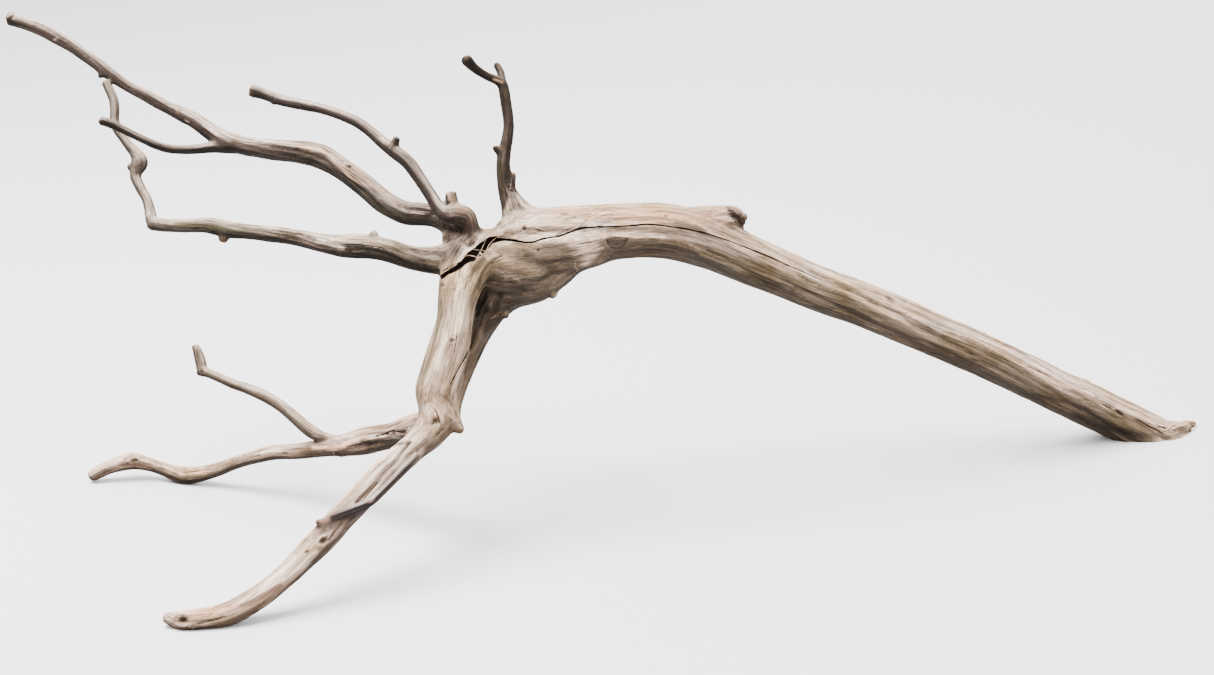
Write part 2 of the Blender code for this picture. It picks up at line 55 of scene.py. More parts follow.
MM = 0.001
PHOTO_SIZE = (1214, 675)
MM_PER_PIXEL = 0.8
PIECE = "weathered_wood"
BODY = "root"
NODE = "driftwood"
# Millimetres over which the grain of two limbs mixes, that set the limbs' grains apart, and between sections.
JOINT_SPAN = 7.0
GRAIN_SHIFT = 331.0
FIBRE_STEP = 1.2
OUT_OF_REACH = 1e3
# How the studio's light and the tone curve turn a base colour into a look.
BRIGHTEST = 0.74
STUDIO_GAIN = 3.6
HIGHLIGHT_ROLL = 3.75


class Tone(Enum):
    """Bare wood by where it grows.

    Each has the sRGB looks of its crown, its flank and its underside, and how far the shade of the
    underside creeps up it. The crown is paler and the underside darker partly from bleaching and partly as
    painted light and shade.
    """

    TRUNK = ("#d6cabb", "#9b8b79", "#5b4d40", -0.12)
    HUB = ("#c6b8aa", "#a59586", "#6e6052", 0.0)
    THIGH = ("#d3c8ba", "#bbab9a", "#7d6e5e", 0.0)
    SHADED = ("#b3a394", "#8d7d6d", "#4b3f35", 0.0)
    LEG = ("#ddd3ca", "#b6a698", "#64544a", 0.0)
    BACK_LEG = ("#d9cec4", "#a59485", "#4d3e34", 0.0)
    UPPER = ("#d4cac2", "#6f6259", "#332a24", 0.22)
    MIDDLE = ("#d0c7bc", "#796c61", "#312822", 0.1)
    THIN = ("#c9beb4", "#645750", "#332a24", 0.22)
    TWIG = ("#a89788", "#504339", "#2e251e", 0.3)
    TAN_TWIG = ("#d2c8bc", "#8d7f70", "#483c33", 0.22)
    PURPLE = ("#8c8286", "#554d52", "#282226", 0.1)
    STUMP = ("#cdbdac", "#998775", "#52443a", 0.0)

    def linear(self, part: int) -> np.ndarray:
        """Return the base colour as linear RGB: 0 for the crown, 1 for the flank, 2 for the underside."""
        return bare_rgb(self.value[part])

    @property
    def shade(self) -> float:
        """How far the shade creeps up, from 0 to 1."""
        return self.value[3]


def linear_rgb(code: str) -> np.ndarray:
    """Turn an sRGB hex colour into linear RGB.

    Args:
        code: The colour, such as "#a8937c".

    Returns:
        Three numbers from 0 to 1.
    """
    parts = np.array([int(code[k:k + 2], 16) / 255.0 for k in (1, 3, 5)])
    return np.where(parts <= 0.04045, parts / 12.92, ((parts + 0.055) / 1.055) ** 2.4)


def bare_rgb(code: str) -> np.ndarray:
    """Find the base colour that shows as an sRGB colour under the studio's light and tone curve.

    Args:
        code: How a face turned to the camera should look, such as "#a8937c".

    Returns:
        Three linear numbers from 0 to 1.
    """
    shown = linear_rgb(code)
    shown *= min(1.0, BRIGHTEST / shown.max())
    return shown / (STUDIO_GAIN - HIGHLIGHT_ROLL * shown)


def edited(mesh: bpy.types.Mesh) -> bmesh.types.BMesh:
    """Open a mesh for bmesh operators.

    Args:
        mesh: The mesh to change.

    Returns:
        Its points, edges and faces as a bmesh.
    """
    bm = bmesh.new()
    bm.from_mesh(mesh)
    return bm


def settle(bm: bmesh.types.BMesh, mesh: bpy.types.Mesh) -> bpy.types.Mesh:
    """Write a bmesh into a mesh and close it.

    Args:
        bm: The changed points, edges and faces.
        mesh: The mesh that takes them.

    Returns:
        The same mesh.
    """
    bm.to_mesh(mesh)
    bm.free()
    return mesh


def placed(name: str, data: bpy.types.ID) -> bpy.types.Object:
    """Put a mesh, a lamp or a camera in the scene.

    Args:
        name: The new object's name.
        data: What it holds.

    Returns:
        The new object, at the origin.
    """
    made = bpy.data.objects.new(name, data)
    bpy.context.scene.collection.objects.link(made)
    return made


@dataclass(frozen=True)
class EyeView:
    """The eye of the photograph and the board that the branch is laid out on.

    Attributes:
        elevation: How far the eye looks down, in radians.
        distance: How far the eye is from the board, in millimetres.
        board: Where the board's middle is, in millimetres.
    """

    elevation: float = math.radians(20.0)
    distance: float = 1800.0
    board: tuple[float, float, float] = (-17.6, -14.3, 165.0)

    def to_world(self, rows: np.ndarray) -> np.ndarray:
        """Place points of the board in the part's frame.

        Args:
            rows: Across, up and away of each point, in millimetres.

        Returns:
            The points in millimetres, one a row.
        """
        rows = np.atleast_2d(np.asarray(rows, dtype=float))
        spread = 1.0 + rows[:, 2] / self.distance
        sin_e, cos_e = math.sin(self.elevation), math.cos(self.elevation)
        return np.array(self.board) + np.stack([
            spread * rows[:, 0],
            spread * rows[:, 1] * sin_e + rows[:, 2] * cos_e,
            spread * rows[:, 1] * cos_e - rows[:, 2] * sin_e,
        ], axis=1)

    def eye(self) -> np.ndarray:
        """Return where the eye is, in millimetres."""
        return self.to_world([0.0, 0.0, -self.distance])[0]

    def strike(self, tree: BVHTree, across: float, up: float, behind: bool = False) -> Vector | None:
        """Find where the sight line through a place on the board meets the wood.

        Args:
            tree: The wood's faces, in metres.
            across: Where on the board, in millimetres.
            up: Where on the board, in millimetres.
            behind: Whether to find the far side of the wood instead of the near one.

        Returns:
            The point in millimetres, or None where the sight line misses.
        """
        eye = Vector(self.eye()) * MM
        aim = (Vector(self.to_world([across, up, 0.0])[0]) * MM - eye).normalized()
        if behind:
            hit = tree.ray_cast(eye + aim * 4.0, -aim)[0]
        else:
            hit = tree.ray_cast(eye, aim)[0]
        return None if hit is None else hit / MM

    def place_camera(self) -> None:
        """Make the camera that sees the branch as the photograph does."""
        data = bpy.data.cameras.new("camera")
        camera = placed("camera", data)
        camera.location = Vector(self.eye()) * MM
        camera.rotation_euler = (math.pi / 2 - self.elevation, 0.0, 0.0)
        data.sensor_width = 36.0
        data.lens = 36.0 * self.distance / (PHOTO_SIZE[0] * MM_PER_PIXEL)
        data.clip_end = 50.0
        bpy.context.scene.camera = camera


VIEW = EyeView()


@dataclass
class Run:
    """A limb's sampled centre line, with its radii and section directions."""

    centres: np.ndarray
    radii: np.ndarray
    side: np.ndarray
    deep: np.ndarray
    along: np.ndarray
    length: np.ndarray


@dataclass(frozen=True)
class Limb:
    """One tapering run of wood.

    Attributes:
        name: What the run is.
        stations: Rows of across, up, away and radius, from the root to the tip.
        tone: Colour of its bare wood.
        deep: Thickness along the sight over thickness across it.
        blunt: How far the tip bulges past its last station, over its radius.
        flutes: How many ribs run lengthwise.
        relief: Height of the ribs over the radius.
        twist: Turns of the ribs over the length of the run.
        ragged: How rough the broken tip is, in millimetres.
        furrow: How deep the furrows of the weather go, over a plain limb's.
    """

    name: str
    stations: tuple[tuple[float, ...], ...]
    tone: Tone = Tone.TRUNK
    deep: float = 1.0
    blunt: float = 0.6
    flutes: int = 5
    relief: float = 0.0
    twist: float = 0.2
    ragged: float = 0.0
    furrow: float = 0.8

    def rows(self, step: float) -> np.ndarray:
        """Read the stations' smooth curve at even steps.

        Args:
            step: The distance between rows, in millimetres.

        Returns:
            Rows of across, up, away and radius.
        """
        rows = np.array(self.stations, dtype=float)
        if len(rows) == 2:
            count = max(4, int(np.linalg.norm(rows[1, :3] - rows[0, :3]) / step) + 1)
            return rows[0] + np.linspace(0.0, 1.0, count)[:, None] * (rows[1] - rows[0])
        knots = np.concatenate([[0.0], np.cumsum(np.linalg.norm(np.diff(rows[:, :3], axis=0), axis=1))])
        gaps = np.diff(knots)[:, None]
        slopes = np.diff(rows, axis=0) / gaps
        tangents = np.empty_like(rows)
        tangents[0], tangents[-1] = slopes[0], slopes[-1]
        tangents[1:-1] = (slopes[1:] * gaps[:-1] + slopes[:-1] * gaps[1:]) / (gaps[:-1] + gaps[1:])
        places = np.linspace(0.0, knots[-1], max(4, int(knots[-1] / step) + 1))
        index = np.clip(np.searchsorted(knots, places, side="right") - 1, 0, len(rows) - 2)
        width = (knots[index + 1] - knots[index])[:, None]
        t = (places - knots[index])[:, None] / width
        first = (2 * t**3 - 3 * t**2 + 1) * rows[index] + (t**3 - 2 * t**2 + t) * width * tangents[index]
        last = (3 * t**2 - 2 * t**3) * rows[index + 1] + (t**3 - t**2) * width * tangents[index + 1]
        return first + last

    def sweep(self, step: float, growth: float) -> Run:
        """Work out the sections of the limb, its bulging tip included.

        Args:
            step: The distance between sections, in millimetres.
            growth: What is added to every radius, in millimetres.

        Returns:
            The sampled run, in millimetres in the part's frame.
        """
        rows = self.rows(step)
        centres = VIEW.to_world(rows[:, :3])
        radii = (rows[:, 3] + growth) * (1.0 + rows[:, 2] / VIEW.distance)
        along = np.gradient(centres, axis=0)
        along /= np.linalg.norm(along, axis=1)[:, None]
        heights = np.array([0.3, 0.6, 0.85, 0.97])
        tips = [centres[-1] + along[-1] * radii[-1] * self.blunt * height for height in heights]
        centres = np.vstack([centres, *tips])
        radii = np.concatenate([radii, radii[-1] * np.sqrt(1.0 - heights**2)])
        along = np.vstack([along] + [along[-1:]] * len(heights))
        sight = centres - VIEW.eye()
        sight /= np.linalg.norm(sight, axis=1)[:, None]
        side = np.cross(along, sight)
        side /= np.linalg.norm(side, axis=1)[:, None]
        length = np.concatenate([[0.0], np.cumsum(np.linalg.norm(np.diff(centres, axis=0), axis=1))])
        return Run(centres, radii, side, np.cross(side, along), along, length)

    def mesh(self, step: float, growth: float) -> bpy.types.Mesh:
        """Grow the limb as a closed tube, by extruding a circle from section to section.

        Args:
            step: The distance between sections, in millimetres.
            growth: What is added to every radius, in millimetres.

        Returns:
            A new mesh, in metres.
        """
        run = self.sweep(step, growth)
        places = []
        for k, centre in enumerate(run.centres):
            radius = run.radii[k]
            columns = (run.side[k] * radius, run.deep[k] * (radius * self.deep), run.along[k], centre)
            place = Matrix([list(column) + [0.0] for column in columns]).transposed()
            place[3][3] = 1.0
            places.append(Matrix.Scale(MM, 4) @ place)
        bm = bmesh.new()
        segments = 36 if run.radii.max() > 7 else 18
        made = bmesh.ops.create_circle(bm, cap_ends=True, segments=segments, radius=1.0, matrix=places[0])
        front = list(made["verts"][0].link_faces)
        for before, place in zip(places, places[1:]):
            grown = bmesh.ops.extrude_face_region(bm, geom=front)["geom"]
            verts = [item for item in grown if isinstance(item, bmesh.types.BMVert)]
            front = [item for item in grown if isinstance(item, bmesh.types.BMFace)]
            bmesh.ops.transform(bm, matrix=place @ before.inverted(), verts=verts)
        bmesh.ops.recalc_face_normals(bm, faces=bm.faces)
        return settle(bm, bpy.data.meshes.new(self.name))


TRUNK = Limb(
    "trunk",
    (
        (-98, 70, -2, 14), (-86, 70, 0, 17.5), (-75, 73, 2, 24), (-62, 74.5, 4, 27), (-50, 75.5, 5, 27.5),
        (-20, 79.5, 9, 25), (0, 83.5, 15, 22), (20, 85, 22, 21), (40, 85.5, 30, 21), (60, 83, 40, 20.8),
        (80, 76.7, 51, 19.8), (100, 68.7, 62, 19.1), (120, 59.7, 73, 18.5), (140, 51.2, 83, 17.7),
        (160, 42.5, 94, 17.1), (180, 35, 104, 17.3), (200, 28, 115, 17.1), (220, 20, 124, 17.3),
        (240, 11.7, 134, 16.9), (260, 2.8, 144, 16.4), (280, -5.1, 154, 16.4), (300, -13.7, 165, 16.2),
        (320, -22.8, 176, 16.1), (340, -32.5, 188, 16.2), (360, -42.7, 200, 16), (380, -51.6, 213, 16.6),
        (400, -61.2, 226, 16.1), (420, -71.3, 237, 16.4), (440, -81.6, 245, 16.3), (462, -94, 253, 15),
    ),
    tone=Tone.TRUNK, furrow=0.75, flutes=7, relief=0.05, twist=0.35,
)
STUMP = Limb(
    "stump on the trunk",
    ((46, 88, 34, 14), (72, 92, 44, 12.4), (90, 94.8, 52, 10.6), (101, 95.4, 58, 9.4), (107.5, 92.4, 61, 7)),
    tone=Tone.STUMP, ragged=2.2, furrow=0.5, blunt=0.25, flutes=5, relief=0.08,
)
BELLY = Limb(
    "belly under the hub",
    ((12, 77, 14, 11), (-8, 72, 10, 11.6), (-24, 65.3, 6, 12), (-40, 54.3, 6, 13.8), (-55, 46.5, 9, 16.4),
     (-72, 42, 15, 17)),
    tone=Tone.TRUNK, furrow=0.35, flutes=6, relief=0.06,
)
HUB = (
    Limb("hub over the thighs", ((-118, 62, -10, 15), (-106, 68, -6, 18), (-86, 62, 0, 24), (-64, 64, 6, 27)),
         tone=Tone.HUB, furrow=0.35, flutes=6, relief=0.05),
    Limb("hub under the curl",
         ((-132, 80.5, 0, 4.6), (-122, 80, 0, 10), (-108, 75, -4, 12), (-92, 73, -2, 13)),
         tone=Tone.HUB, furrow=0.4, flutes=0),
    Limb("web between the thighs",
         ((-88, 56, 8, 17), (-96, 38, 12, 15), (-103, 22, 12, 12.5), (-108, 4, 6, 11), (-116, -14, -6, 10)),
         tone=Tone.SHADED, furrow=0.5, flutes=0),
)
UPPER_LIMB = Limb(
    "upper limb",
    (
        (-112, 84, 0, 12), (-125, 93, 4, 10.5), (-140, 97.7, 8, 8.4), (-150, 99, 11, 8.9),
        (-160, 99.6, 15, 8.9), (-170, 103.8, 18, 8.6), (-180, 109.8, 22, 8.7), (-190, 118.4, 26, 8.5),
        (-200, 126.3, 30, 8.4), (-210, 133, 34, 8.2), (-220, 139.5, 38, 8.6), (-230, 144.5, 42, 9.2),
        (-240, 147, 45, 8.9), (-250, 148.3, 48, 8.2), (-260, 149.5, 51, 8), (-270, 150.6, 53, 7.8),
        (-280, 152.2, 56, 7.2), (-290, 153.6, 58, 7), (-300, 156, 60, 7.2), (-310, 160.4, 62, 6.8),
        (-320, 167, 64, 6.1), (-330, 173.6, 66, 5.6), (-340, 178.4, 67, 5.3), (-350, 183.2, 69, 4.4),
        (-360, 188.4, 71, 4.5), (-370, 194, 72, 4.2), (-380, 199, 74, 3.9), (-390, 205.1, 75, 4),
        (-400, 212.6, 76, 4.6), (-410, 220.5, 78, 4.4), (-420, 227.2, 79, 4.2), (-430, 234.4, 80, 4.6),
        (-440, 240, 81, 4.8), (-450, 245.5, 82, 4.7), (-460, 249.8, 83, 4.7), (-470, 253.2, 84, 4.8),
        (-478.3, 255.6, 85, 5),
    ),
    tone=Tone.UPPER, ragged=0.8, blunt=0.35, flutes=5, relief=0.07, twist=0.5,
)
MIDDLE_LIMB = Limb(
    "middle limb",
    (
        (-112, 64, -8, 14), (-125, 62.6, -9, 13.2), (-133, 62.2, -9, 11.6), (-140, 62, -8, 10.4),
        (-150, 62.8, -7, 9.2), (-160, 64.8, -5, 8.6), (-170, 68.3, -3, 8.7), (-180, 70.8, -2, 8.6),
        (-190, 72, 0, 8.9), (-200, 72.9, 2, 9.5), (-210, 72.8, 4, 8.7), (-220, 74, 7, 7.6),
        (-230, 75.8, 9, 6.8), (-240, 78.3, 11, 6.5), (-250, 80.3, 13, 5.9), (-260, 82, 15, 6),
        (-270, 83, 18, 6), (-280, 84.2, 20, 5.6), (-290, 85, 23, 5.5), (-300, 85.8, 25, 6),
        (-310, 87.8, 28, 6.1), (-320, 89.5, 30, 5.5), (-330, 89.4, 34, 5.1), (-340, 89.3, 38, 4.8),
        (-350, 89.7, 42, 4.7), (-360, 90.6, 46, 4.8), (-365, 91, 48, 4.6),
    ),
    tone=Tone.MIDDLE, blunt=0.5, flutes=5, relief=0.07, twist=0.4,
)
MIDDLE_LIMB_END = Limb(
    "end of the middle limb",
    (
        (-363.5, 90, 47, 4), (-364.6, 95, 48, 4.2), (-365.5, 100, 50, 4), (-368, 110, 52, 3.5),
        (-373.5, 120, 55, 3.6), (-377.5, 130, 58, 4), (-373.6, 140.5, 60, 6), (-377.6, 148, 61, 4.2),
        (-382, 153, 61, 3.5), (-387, 160, 62, 3.3), (-392.5, 168, 63, 3.3), (-394, 175, 64, 3.3),
        (-393.8, 182, 65, 3.3), (-394.7, 190, 67, 3.2), (-398.6, 199, 69, 3), (-401, 203.6, 70, 2.6),
    ),
    tone=Tone.MIDDLE, ragged=0.7, flutes=0,
)
THIN_LIMB = Limb(
    "thin curled limb",
    (
        (-106, 76, -8, 8), (-109.5, 88, -12, 6.6), (-113, 96.5, -16, 7.6), (-120, 98.6, -18, 8),
        (-128, 98.5, -18, 6.4), (-134.5, 103.4, -17, 5.2), (-140, 112, -15, 4.7), (-150, 127.5, -12, 4.8),
        (-160, 141, -8, 5.1), (-170, 148.6, -3, 5), (-180, 156.4, 2, 4.4), (-190, 165.2, 6, 3.9),
        (-200, 172.3, 10, 3.8), (-210, 176.8, 14, 3.6), (-220, 180.5, 18, 3.5), (-230, 183.3, 22, 3.4),
        (-240, 185.4, 25, 3.7), (-250, 187.5, 28, 3.9), (-260, 189.6, 32, 3.9), (-270, 193, 36, 3.9),
        (-279, 196.2, 39, 4.4), (-284.4, 197.4, 40, 4.8),
    ),
    tone=Tone.THIN, ragged=0.8, furrow=0.6, blunt=0.2, flutes=0,
)
UPRIGHT_TWIG = Limb(
    "upright twig",
    (
        (-72, 84, 4, 12), (-74, 96, 5, 9.3), (-76.8, 107, 6, 8), (-80, 117, 7, 6.8), (-82, 126, 8, 5.7),
        (-83, 138, 10, 5.2), (-81.6, 150, 13, 4.6), (-79.6, 160, 16, 4.1), (-78.6, 170, 19, 3.8),
        (-79.6, 180, 22, 3.9), (-81.2, 190, 25, 3.9), (-82.2, 197, 28, 3.9), (-84, 203, 29, 3.6),
        (-89.5, 206.4, 27, 3), (-95, 208.6, 25, 2.8), (-101, 212, 22, 2.9), (-107, 216.4, 18, 3.3),
        (-112.3, 222, 14, 4.2),
    ),
    tone=Tone.TWIG, flutes=0, blunt=0.8,
)
FRONT_THIGH = Limb(
    "front thigh",
    (
        (-106, 66, -13, 19), (-112, 56, -16, 19), (-117, 43, -20, 17.2), (-120, 30, -22, 14.9),
        (-121.7, 15, -24, 14), (-124.7, 0, -26, 15.2), (-128.5, -15, -27, 15.8), (-133.2, -30, -29, 15.8),
        (-136.6, -43, -32, 15.8), (-136.4, -55, -35, 13.8), (-136, -66, -38, 14.5), (-142, -76, -43, 12.6),
        (-153.5, -87.5, -50, 9.6),
    ),
    tone=Tone.THIGH, furrow=0.35, flutes=6, relief=0.06, twist=0.15,
)
BACK_THIGH = Limb(
    "back thigh",
    (
        (-58, 54, 10, 18), (-75, 42, 17, 16.8), (-90.5, 26, 20, 13), (-100, 12, 16, 11.4),
        (-107.5, -5, 8, 9.6), (-115, -22, -3, 9.4), (-121.5, -38, -16, 9.8), (-126.5, -52, -26, 10.2),
        (-130, -64, -34, 12),
    ),
    tone=Tone.SHADED, furrow=0.5, deep=1.15, flutes=5, relief=0.06, twist=0.2,
)
FRONT_LEG = Limb(
    "front leg",
    (
        (-135, -62, -37, 13), (-142, -76, -43, 12.8), (-153.8, -87, -50, 10.8), (-164.2, -96, -54, 10.6),
        (-174.2, -104.8, -60, 10.8), (-184, -114.2, -65, 10.6), (-193.2, -124.2, -70, 10.5),
        (-202.8, -134.4, -75, 10.6), (-213, -145, -80, 10.2), (-222.3, -155.6, -85, 10.7),
        (-232.7, -166.2, -90, 10.4), (-243.4, -176.5, -95, 9.6), (-253, -186, -99, 9.2),
        (-263.5, -195.5, -102, 8.9), (-274, -204.5, -105, 9.2), (-284.5, -211.5, -108, 9.5),
        (-295.5, -218, -110, 9.3), (-307.5, -222.8, -112, 9.1), (-319.5, -224.9, -114, 8.3),
        (-330.5, -225.8, -115, 8.2), (-340, -226.6, -115, 7.7), (-347, -225.2, -115, 5.9),
        (-352.6, -224.6, -115, 3.8),
    ),
    tone=Tone.LEG, ragged=0.8, blunt=0.7, flutes=5, relief=0.05, twist=0.4,
)
BACK_LEG = Limb(
    "back leg",
    (
        (-128, -64, -30, 11), (-140, -69, -16, 11.4), (-150, -71, -2, 10.8), (-160, -74, 13, 10.4),
        (-170, -77.8, 26, 10), (-180, -79.9, 36, 10), (-190, -82, 44, 10.8), (-200, -84.4, 51, 9.8),
        (-210, -86.3, 57, 8.6), (-220, -87.6, 64, 7.2), (-230, -89, 71, 6.5), (-240, -90.3, 78, 6.2),
        (-250, -91.3, 84, 5.8), (-260, -91.6, 90, 5.5), (-270, -92.4, 96, 5.6), (-280, -94.8, 102, 5.2),
        (-290, -97.6, 109, 4.8), (-300, -101, 116, 4.7), (-310, -105.1, 123, 4.9), (-320, -107.9, 129, 5.5),
        (-330, -109.8, 134, 6.1), (-338, -110.6, 138, 6.8), (-345, -108.9, 139, 5.9), (-351, -106.8, 140, 5),
        (-360, -103.5, 140, 4.5), (-370, -100.6, 140, 5.1), (-380, -98.8, 139, 6.4), (-390, -101, 138, 5.6),
        (-400, -104.5, 138, 4.8), (-407, -108, 138, 4.8), (-411.5, -110.6, 138, 4.2),
    ),
    tone=Tone.BACK_LEG, blunt=0.7, flutes=5, relief=0.06, twist=0.3,
)
BACK_TWIG = Limb(
    "twig on the back leg",
    (
        (-208, -84, 57, 3.6), (-216, -82.4, 60, 3), (-224, -80.4, 63, 3.4), (-231, -78.4, 65, 4.3),
        (-236, -75.6, 67, 4.8), (-241, -72, 69, 4.6), (-250, -64, 73, 4.4), (-260, -55.5, 78, 4.1),
        (-270, -49, 83, 4.2), (-280, -44, 88, 4.1), (-290, -40.2, 93, 3.6), (-300, -36.7, 98, 3.4),
        (-310, -32.3, 102, 3.1), (-320, -28.2, 106, 3.2), (-326.5, -27.2, 108, 3),
    ),
    tone=Tone.TAN_TWIG, blunt=0.5, flutes=0,
)
DARK_TWIG = Limb(
    "dark twig over the front leg",
    (
        (-147, -90, -56, 2.4), (-154, -98, -62, 2.8), (-161, -104, -66, 3), (-171.5, -114.3, -70, 3),
        (-181.5, -124, -75, 3.1), (-189, -130.8, -81, 3.3), (-200, -136.4, -87, 3.4),
        (-210, -140.4, -90, 3.3), (-220, -144.6, -92, 3.2), (-227, -147.8, -93, 2.8),
        (-231.5, -149.4, -93, 3.4),
    ),
    tone=Tone.PURPLE, ragged=0.6, blunt=0.3, flutes=0,
)
SPURS = (
    Limb("fork of the upper limb",
         ((-298, 153, 60, 5.6), (-312, 152.6, 59, 4.6), (-320, 151.6, 57, 3.8), (-330, 150.5, 54, 3.4),
          (-340, 150.4, 51, 3.3), (-350, 151, 48, 3.1), (-360, 153.7, 45, 3), (-370, 158, 41, 2.7),
          (-380, 162.8, 38, 2.7), (-390, 167.7, 35, 2.8), (-398, 171.4, 32, 3.1), (-404.6, 173.4, 30, 3.1)),
         tone=Tone.UPPER),
    Limb("buttress of the upright twig",
         ((-79, 120, 6, 4), (-72.5, 107, 6, 6.6), (-63, 96, 6, 9.6), (-49, 87, 7, 13.4)), tone=Tone.TWIG),
    Limb("right arm of the upright twig",
         ((-82.5, 199, 28, 3), (-84, 206, 33, 2.8), (-85.5, 213, 39, 2.5), (-88.4, 218, 43, 2.2)),
         tone=Tone.TWIG),
    Limb("ankle nub",
         ((-127, -63, -36, 9.5), (-121.5, -70, -38, 6.4), (-116.4, -74.4, -39, 3)),
         tone=Tone.LEG, ragged=0.5, blunt=0.5),
    Limb("elbow of the back twig",
         ((-323.6, -28, 107, 3.2), (-324.7, -21.5, 109, 4), (-326.4, -15, 110, 3.7), (-328.2, -9.4, 111, 3),
          (-329.2, -7, 112, 2.7)), tone=Tone.TAN_TWIG, ragged=0.6, blunt=0.3),
    Limb("ragged end of the trunk",
         ((436, -76, 238, 8), (448, -74.4, 241, 7), (458, -73.2, 245, 5.4), (464.5, -72.8, 249, 3.6)),
         tone=Tone.TRUNK, ragged=1.6),
    Limb("splintered tip of the trunk",
         ((444, -78, 247, 5), (455, -72.6, 252, 4), (462, -69.6, 255, 2.6), (470, -68.8, 258, 1.6)),
         tone=Tone.TRUNK, ragged=0.8),
    Limb("stub above the curl", ((-123, 100, -17, 4.8), (-125, 115, -15, 4.3)), tone=Tone.THIN,
         blunt=0.4, ragged=0.9),
    Limb("stub in front of the upright twig", ((-84.5, 147.5, 12, 3.4), (-90, 152, 9, 1.7)), tone=Tone.TWIG),
    Limb("splinter beside the upright twig", ((-77, 116, 6, 3), (-74.8, 130.5, 9, 1.7)), tone=Tone.TWIG),
    Limb("spur under the upper limb", ((-402.5, 212, 76, 3), (-406, 208.8, 75, 1.4)), tone=Tone.UPPER),
    Limb("bud on the upper limb", ((-342, 180.5, 67, 4), (-343.5, 184.5, 67, 2)), tone=Tone.UPPER),
    Limb("spur on the middle limb", ((-188, 75, 0, 6), (-186, 84.4, -2, 2.2)), tone=Tone.MIDDLE),
    Limb("stub under the middle limb", ((-306, 85, 27, 4.2), (-307, 77, 25, 2.9)), tone=Tone.MIDDLE,
         blunt=0.4, ragged=0.6),
    Limb("spur on the rising limb", ((-374, 139.5, 60, 4), (-382.3, 135.8, 60, 2)), tone=Tone.MIDDLE),
    Limb("spur under the thin limb", ((-265, 191, 34, 3), (-267, 187.4, 33, 1.5)), tone=Tone.THIN),
    Limb("bud on the thin limb", ((-172, 150.5, -3, 4), (-168.2, 159, -5, 2.4)), tone=Tone.TWIG),
    Limb("nub under the belly", ((-48, 41, 5, 8), (-42.6, 33.6, 4, 2.8)), tone=Tone.TRUNK),
    Limb("nub behind the thigh", ((-88, 21, 14, 7), (-80.4, 17.8, 10, 2.6)), tone=Tone.SHADED),
    Limb("nub under the back leg", ((-211, -88, 58, 6), (-213, -94.4, 57, 2)), tone=Tone.TWIG),
    Limb("bud on the trunk", ((381, -38, 212, 9), (383.5, -34.4, 210, 2.4)), tone=Tone.TRUNK),
    Limb("bump on the front thigh", ((-130, 41, -22, 7), (-133.4, 41.5, -23, 2.4)), tone=Tone.THIGH),
    Limb("knuckle on the front leg", ((-237, -166, -90, 8), (-243, -165.6, -91, 4.4)), tone=Tone.LEG),
)
LIMBS = (TRUNK, STUMP, BELLY, *HUB, UPPER_LIMB, MIDDLE_LIMB, MIDDLE_LIMB_END, THIN_LIMB, UPRIGHT_TWIG,
         FRONT_THIGH, BACK_THIGH, FRONT_LEG, BACK_LEG, BACK_TWIG, DARK_TWIG, *SPURS)


